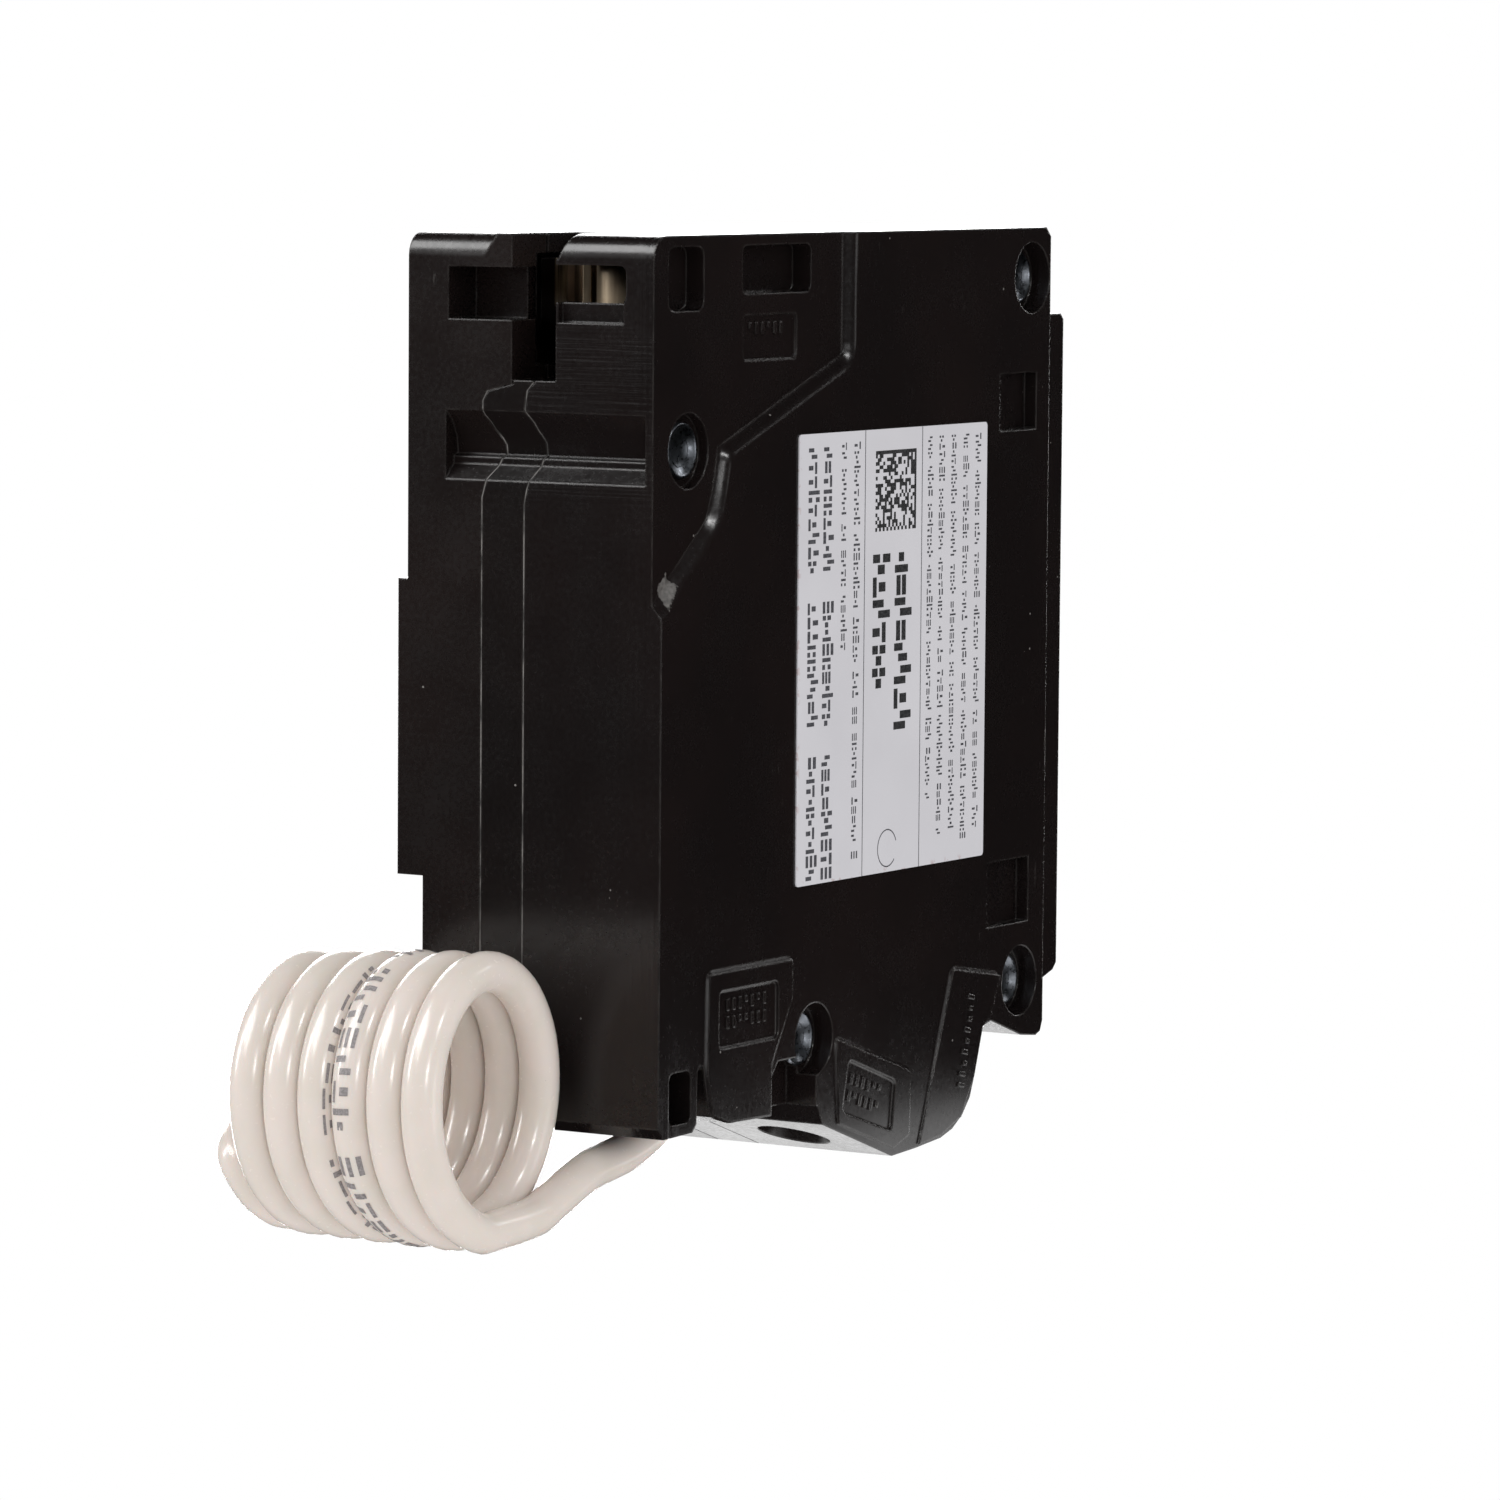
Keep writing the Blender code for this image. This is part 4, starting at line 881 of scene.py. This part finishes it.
def in_flat_parts(rectangle):
    """The rectangle cut across its length, so that its parts can follow a round surface."""
    a0, b0, a1, b1 = rectangle
    count = max(1, round(max(a1 - a0, b1 - b0) / PRINT_FLAT))
    for index in range(count):
        if a1 - a0 > b1 - b0:
            step = (a1 - a0) / count
            yield a0 + index * step, b0, a0 + (index + 1) * step, b1
        else:
            step = (b1 - b0) / count
            yield a0, b0 + index * step, a1, b0 + (index + 1) * step


def make_wire_print():
    """Faded grey marks along the outside of the coil, on parts of its middle rings."""
    draw = random.Random(5)
    made = []
    for number, (start, end, lean, height) in enumerate(PRINT_RUNS, 1):
        length = (end - start) * TURN_LENGTH
        strokes = mark_strokes(draw, length, height, PRINT_ADVANCE, (6, 9))
        parts = [part for stroke in strokes for part in in_flat_parts(stroke)]
        middle = height / 2
        parts = [(a0, b0 - middle, a1, b1 - middle) for a0, b0, a1, b1 in parts]
        place = on_wire(start, lean)
        item = plates(f"wire_print_{number}", parts, place, PRINT_THICKNESS, WIRE_INK)
        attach(item, "case")
        made.append(item)
    return made


cord = make_cord()
bare = make_strands()
wire_print = make_wire_print()

# ---- Case shells ----

# Outline in (Y, Z) of the lower field at the line end, past the case's own edges
LINE_FIELD = [
    (-2.0, 42.0),
    (0.7, 43.0),
    (2.5, 44.9),
    (8.0, 49.2),
    (9.0, 51.8),
    (9.7, 55.0),
    (29.0, 61.9),
    (29.0, 74.0),
    (-2.0, 74.0),
]

# How far out the wall round the field is at each X
FIELD_WALL = [
    (0.0, 11.62),
    (0.1, 11.66),
    (0.3, 11.82),
    (0.55, 12.1),
    (0.85, 12.38),
    (1.15, 12.5),
    (1.3, 12.9),
]
# How far out the rim of a raised pad is at each X
PAD_RIM = [(0.34, 12.3), (0.34, 12.51), (0.12, 12.62), (-0.12, 12.7)]
# Outlines in (Y, Z) of the raised pads, from back to front
PADS = [
    [
        (7.4, 12.6),
        (20.3, 12.6),
        (20.3, 9.5),
        (17.1, 4.4),
        (17.1, 0.5),
        (10.7, 0.5),
        (8.1, 1.3),
        (7.2, 4.9),
    ],
    [(27.6, 5.2), (39.8, 1.2), (39.6, -3.8), (37.0, -4.6), (28.2, -1.5)],
    [
        (46.9, 9.1),
        (54.8, 7.8),
        (53.1, 4.5),
        (51.7, 3.6),
        (50.3, -0.3),
        (48.2, -3.4),
        (45.0, -4.6),
        (41.9, -4.8),
    ],
]
# Outline and floor of each framed recess in the pads
FRAMES = [
    ([(28.6, -0.9), (36.6, -3.4), (37.2, 0.6), (29.6, 3.2)], 12.45),
    ([(9.0, 6.5), (18.0, 6.5), (18.0, 11.0), (9.0, 11.0)], 12.45),
]
# Where the cutters end, clear of the near face
CLEAR = 13.4
# The rivets' centres in (Y, Z), the radius of their recesses and the X of the near seats
RIVETS = [(5.3, 54.85), (59.6, 67.7), (58.6, 7.0), (24.1, 5.6)]
RIVET_RECESS = 3.03
RIVET_SEAT = 10.64
RIVET_NEAR = RIVET_SEAT + 0.08
RIVET_FAR = -9.68
RIVET_SHANK = 1.28
# Radius and height of a dished head, from its middle out over the lip
RIVET_HEAD = [
    (0.0, -0.22),
    (0.3, -0.21),
    (0.7, -0.17),
    (1.1, -0.08),
    (1.45, 0.04),
    (1.72, 0.17),
    (1.9, 0.27),
    (2.02, 0.34),
    (2.13, 0.36),
    (2.22, 0.32),
    (2.28, 0.22),
    (2.3, 0.12),
    (2.28, 0.02),
]
# First corner, direction, rows, ribs in each row and floor of each field of ribs
RIBS = [
    ((14.6, 64.9), (1.0, 0.0), 1, 6, 11.4),
    ((10.2, 10.4), (1.0, 0.0), 2, 7, 12.45),
    ((30.2, 2.2), (1.0, -0.33), 2, 6, 12.45),
    ((50.3, 6.6), (-0.22, -1.0), 1, 9, 12.7),
]
# Between rows and between ribs, a rib's lengths and thickness, and how deep and high it goes
RIB_ROW = 1.45
RIB_PITCH = 0.95
RIB_LENGTHS = (0.55, 1.0, 1.0)
RIB_THICKNESS = 0.42
RIB_ROOT = 0.2
RIB_HEIGHT = 0.14


def line_field():
    """The cutter of the field, with a wide rounded wall round it."""
    outline = softened(anticlockwise(LINE_FIELD), 1.1)
    return loft("line_field", [(grown(outline, by), x) for by, x in FIELD_WALL])


def near_cutters():
    """What is cut from the near shell: the field, the framed recesses and the rivets' seats."""
    made = [line_field()]
    for number, (corners, floor) in enumerate(FRAMES, 1):
        outline = softened(anticlockwise(corners), 0.5)
        rings = [(outline, floor), (grown(outline, 0.12), floor + 0.14)]
        rings.append((grown(outline, 0.2), CLEAR))
        made.append(loft(f"frame_{number}", rings))
    for number, centre in enumerate(RIVETS, 1):
        ring = circle(centre, RIVET_RECESS)
        made.append(loft(f"recess_{number}", [(ring, RIVET_SEAT), (ring, CLEAR)]))
    return made


def pad_skirts():
    """A sloping rim round each raised pad."""
    made = []
    for number, corners in enumerate(PADS, 1):
        outline = softened(anticlockwise(corners), 0.7)
        made.append(loft(f"pad_{number}", [(grown(outline, by), x) for by, x in PAD_RIM]))
    return made


def rib_blocks():
    """Raised ribs in the frames, where the real part has moulded marks."""
    made = []
    draw = random.Random(3)
    for number, (corner, along, rows, count, floor) in enumerate(RIBS, 1):
        way = Vector(along).normalized()
        side = Vector((way.y, -way.x))
        for row in range(rows):
            for index in range(count):
                start = Vector(corner) + side * (RIB_ROW * row) + way * (RIB_PITCH * index)
                end = start + side * draw.choice(RIB_LENGTHS)
                thick = way * RIB_THICKNESS
                outline = [tuple(point) for point in (start, end, end + thick, start + thick)]
                rings = [(outline, floor - RIB_ROOT), (outline, floor + RIB_HEIGHT)]
                made.append(loft(f"rib_{number}_{row}_{index}", rings))
    return made


def make_shells():
    added = pad_skirts()
    near = refined("shell_near", "near_case", "case", CASE_NEAR, 0.0, near_cutters(), added)
    ribs = rib_blocks()
    for item in ribs:
        item.data.materials.append(CASE_NEAR)
    joined = joined_mesh("moulded_ribs", ribs)
    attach(joined, "case")
    mid = refined("shell_mid", "mid_case", "case", CASE_MID)
    far = refined("shell_far", "far_case", "case", CASE_FAR)


# Height and depth of points down the back wall, across the channel
CHANNEL = [
    (-8.3, 0.0),
    (52.2, 0.0),
    (53.4, 1.2),
    (54.0, 1.2),
    (54.2, 1.8),
    (55.6, 1.6),
    (56.9, 0.9),
    (57.8, 0.0),
    (66.0, 0.0),
]
# The two joints between the shells, as (X, Z) points down the back
SEAMS = [
    [
        (-0.55, -1.5),
        (-0.55, 50.4),
        (-0.3, 51.6),
        (0.1, 52.8),
        (0.55, 54.0),
        (0.55, 55.2),
        (0.0, 56.3),
        (-0.5, 58.0),
        (-0.3, 59.5),
        (0.6, 60.5),
    ],
    [
        (-4.6, -1.5),
        (-4.6, 50.8),
        (-4.1, 52.5),
        (-3.3, 54.2),
        (-3.3, 55.0),
        (-4.1, 56.3),
        (-4.55, 57.4),
        (-4.55, 58.6),
        (-4.1, 59.4),
        (-1.9, 60.0),
    ],
]
# The painted highlight strip in a joint: half its width, how far in it starts and goes, and its
# steps' length
SEAM_STRIP_HALF = 0.065
SEAM_STRIP_INSET = 0.02
SEAM_STRIP_DEPTH = 0.2
SEAM_STRIP_STEP = 0.3


def back_depth(z):
    """How far the back wall's surface lies in from the back face, at a height."""
    for (z0, y0), (z1, y1) in zip(CHANNEL, CHANNEL[1:]):
        if z0 <= z <= z1:
            return y0 + (y1 - y0) * (z - z0) / (z1 - z0)
    return 0.0


def make_seams():
    """Strips in the two joints down the back, coloured as a broken painted highlight along the
    seams.
    """
    around = [(-SEAM_STRIP_HALF, 0.0), (SEAM_STRIP_HALF, 0.0)]
    around += [(SEAM_STRIP_HALF, SEAM_STRIP_DEPTH), (-SEAM_STRIP_HALF, SEAM_STRIP_DEPTH)]
    for number, seam in enumerate(SEAMS, 1):
        shape = bmesh.new()
        rows = []
        for (x0, z0), (x1, z1) in zip(seam, seam[1:]):
            count = max(1, round((z1 - z0) / SEAM_STRIP_STEP))
            for step in range(count):
                t = step / count
                x, z = x0 + (x1 - x0) * t, z0 + (z1 - z0) * t
                y = back_depth(z) + SEAM_STRIP_INSET
                rows.append([shape.verts.new((x + dx, y + dy, z)) for dx, dy in around])
        for low, high in zip(rows, rows[1:]):
            for corner in range(4):
                after = (corner + 1) % 4
                shape.faces.new((low[corner], low[after], high[after], high[corner]))
        shape.faces.new(rows[0])
        shape.faces.new(rows[-1])
        item = to_object(f"seam_highlight_strip_{number}", shape, SEAM_PAINTED_HIGHLIGHT)
        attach(item, "case")


def make_rivets():
    """Tubular rivets through the case, each with a dished head at both ends."""
    profile = [(radius, RIVET_NEAR + height) for radius, height in RIVET_HEAD]
    profile += [(RIVET_SHANK, RIVET_NEAR), (RIVET_SHANK, RIVET_FAR)]
    profile += [(radius, RIVET_FAR - height) for radius, height in RIVET_HEAD[::-1]]
    for number, centre in enumerate(RIVETS, 1):
        item = lathe(f"rivet_dished_{number}", profile, centre, ZINC)
        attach(item, "case")
        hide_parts(f"rivet_{number}")


# ---- Label ----

INK_THICKNESS = 0.006
# Start along, end along, place across, height and advance of each row of small marks
FINE_ROWS = [
    (0.9, 36.1, 29.6, 1.0, 0.78),
    (0.9, 18.7, 27.6, 1.0, 0.78),
    (0.9, 35.2, 49.8, 0.95, 0.66),
    (0.9, 35.4, 47.75, 0.95, 0.66),
    (0.9, 34.6, 45.7, 0.95, 0.66),
    (0.9, 35.2, 43.65, 0.95, 0.66),
    (0.9, 31.8, 41.75, 0.95, 0.66),
]
# Two rows of three groups of larger marks: places across, starts along, length and size
GROUPS_ACROSS = (24.75, 22.35)
GROUPS_ALONG = (1.2, 13.9, 26.6)
GROUP_LENGTH = 10.6
GROUP_MARK = (1.65, 1.16)
# The two ruled lines
RULES_ACROSS = (31.4, 40.8)
RULE_HALF = 0.045
# Start along, end along and place across of each row of bold marks, and their size
BOLD_ROWS = [(10.5, 25.9, 36.5), (10.5, 21.6, 32.9)]
BOLD_MARK = (2.6, 1.9)
# The square code: cells in a row, the size of one, and its first corner
CODE_CELLS = 22
CODE_CELL = 6.7 / CODE_CELLS
CODE_CORNER = (1.8, 33.1)
# The printed ring: its centre, inner and outer radius, and number of steps
CIRCLE_CENTRE = (35.1, 35.5)
CIRCLE_RADII = (1.5, 1.6)
CIRCLE_STEPS = 64


def on_label(along, across, up):
    """Along runs down the label from its top edge, and across runs towards the front."""
    return (LABEL_FACE + PRINT_GAP + up, across, LABEL_Z[1] - along)


def printed_row(strokes, start, across, bolder=(0.0, 0.0)):
    """Strokes moved to their row's place, each made a little longer and higher all round."""
    a, b = bolder
    for a0, b0, a1, b1 in strokes:
        yield start + (a0 - a), across + (b0 - b), start + (a1 + a), across + (b1 + b)


def fine_print(draw):
    made = []
    for start, end, across, height, advance in FINE_ROWS:
        strokes = mark_strokes(draw, end - start, height, advance, (2, 9))
        made.extend(printed_row(strokes, start, across))
    for across in GROUPS_ACROSS:
        for start in GROUPS_ALONG:
            strokes = mark_strokes(draw, GROUP_LENGTH, *GROUP_MARK, (9, 9))
            made.extend(printed_row(strokes, start, across, (0.03, 0.05)))
    for across in RULES_ACROSS:
        made.append((0.0, across - RULE_HALF, LABEL_Z[1] - LABEL_Z[0], across + RULE_HALF))
    return made


def bold_print(draw):
    made = []
    for start, end, across in BOLD_ROWS:
        strokes = mark_strokes(draw, end - start, *BOLD_MARK, (9, 9))
        made.extend(printed_row(strokes, start, across, (0.1, 0.12)))
    return made


def square_code(draw):
    """A square of random cells with a solid edge on two sides and a dashed edge on the others."""
    made = []
    last = CODE_CELLS - 1
    for row in range(CODE_CELLS):
        for column in range(CODE_CELLS):
            border = row == 0 or column == last
            dashed = (row == last and column % 2 == 0) or (column == 0 and row % 2 == 1)
            if border or dashed or (0 < row < last and column > 0 and draw.random() < 0.5):
                a = CODE_CORNER[0] + row * CODE_CELL
                b = CODE_CORNER[1] + column * CODE_CELL
                made.append((a, b, a + CODE_CELL, b + CODE_CELL))
    return made


def make_label():
    outline = rounded_box(LABEL_Y, LABEL_Z, LABEL_CORNER)
    sheet = loft("label_sheet", [(outline, LABEL_BACK), (outline, LABEL_FACE)])
    sheet.data.materials.append(LABEL)
    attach(sheet, "case")
    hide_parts("side_label")
    draw = random.Random(11)
    fine = fine_print(draw)
    item = plates("label_fine_print", fine, on_label, INK_THICKNESS, LABEL_INK)
    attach(item, "case")
    bold = bold_print(draw) + square_code(draw)
    item = plates("label_bold_print", bold, on_label, INK_THICKNESS, CODE_INK)
    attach(item, "case")
    make_label_circle()


def make_label_circle():
    """The printed ring in the label's bold column, open at one side."""
    shape = bmesh.new()
    rows = []
    for step in range(CIRCLE_STEPS + 1):
        angle = math.radians(20 + 300 * step / CIRCLE_STEPS)
        along, across = CIRCLE_CENTRE
        pair = [
            (along - radius * math.sin(angle), across + radius * math.cos(angle))
            for radius in CIRCLE_RADII
        ]
        levels = (0.0, INK_THICKNESS)
        rows.append([shape.verts.new(on_label(*corner, up)) for up in levels for corner in pair])
    for before, after in zip(rows, rows[1:]):
        for low, high in ((0, 1), (1, 3), (3, 2), (2, 0)):
            shape.faces.new((before[low], before[high], after[high], after[low]))
    for row in (rows[0], rows[-1]):
        shape.faces.new((row[0], row[1], row[3], row[2]))
    item = to_object("label_circle", shape, LABEL_INK)
    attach(item, "case")


make_shells()
make_seams()
make_rivets()
make_label()

# ---- Everything else: finer edges where it shows, and a material on each ----

# Node: name of its piece, body, material and width of its bevels
REFINED = {
    "handle": ("toggle_handle", "handle", HANDLE, 0.35),
    "test_button": ("push_button", "test_button", BUTTON, 0.2),
    "line_jaw": ("stab_jaw", "case", JAW_PAINTED_SHADE, 0.08),
    "jaw_spring": ("stab_spring", "case", JAW_PAINTED_SHADE, 0.08),
    "load_neutral_lug": ("neutral_box_lug", "case", STEEL, 0.12),
    "load_power_lug": ("power_box_lug", "case", STEEL, 0.12),
    "load_neutral_screw": ("neutral_clamp_screw", "neutral_screw", STEEL, 0.08),
    "load_power_screw": ("power_clamp_screw", "power_screw", STEEL, 0.08),
    "lamp_lens": ("lamp_window", "case", LENS, 0.05),
}
# Node: name of its piece, moving body, where the bending starts and ends, and material
FLEXED = {
    "test_button_spring": (
        "button_coil_spring",
        "test_button",
        (-7.8, 54.6, 50.0),
        (-7.8, 58.2, 50.0),
        SPRING,
    ),
    "flexible_braid": (
        "copper_braid",
        "contact_arm",
        (9.4, 26.0, 41.0),
        (6.3, 45.0, 44.6),
        COPPER,
    ),
}
# The nodes that keep their CAD shape, by material
CARRIED = {
    STEEL: "handle_pivot_pin contact_arm_pin cradle cradle_pivot_pin magnet_yoke armature "
    "armature_pin calibration_screw trip_solenoid solenoid_plunger arc_plate_1 arc_plate_2 "
    "arc_plate_3 arc_plate_4 arc_plate_5",
    SPRING: "toggle_spring",
    COPPER: "test_contact_leaf line_strap contact_arm bimetal_strip load_conductor",
    TINNED: "pigtail_terminal",
    SILVER: "fixed_contact moving_contact",
    FIBRE: "arc_chute_frame",
    BOARD: "circuit_board",
    CHIP: "control_chip capacitor",
    DISC: "surge_disc sensor_toroid",
    LENS: "lamp",
    WIRE: "neutral_conductor",
}


def dress_the_rest():
    """Makes the refined and flexed pieces, and gives every other node its material."""
    for node, (name, body, material, width) in REFINED.items():
        item = refined(name, node, body, material, width)
    for node, (name, body, start, end, material) in FLEXED.items():
        item = flexed(name, node, material)
    for material, names in CARRIED.items():
        for node in names.split():
            NODES[node].data.materials.clear()
            NODES[node].data.materials.append(material)


dress_the_rest()
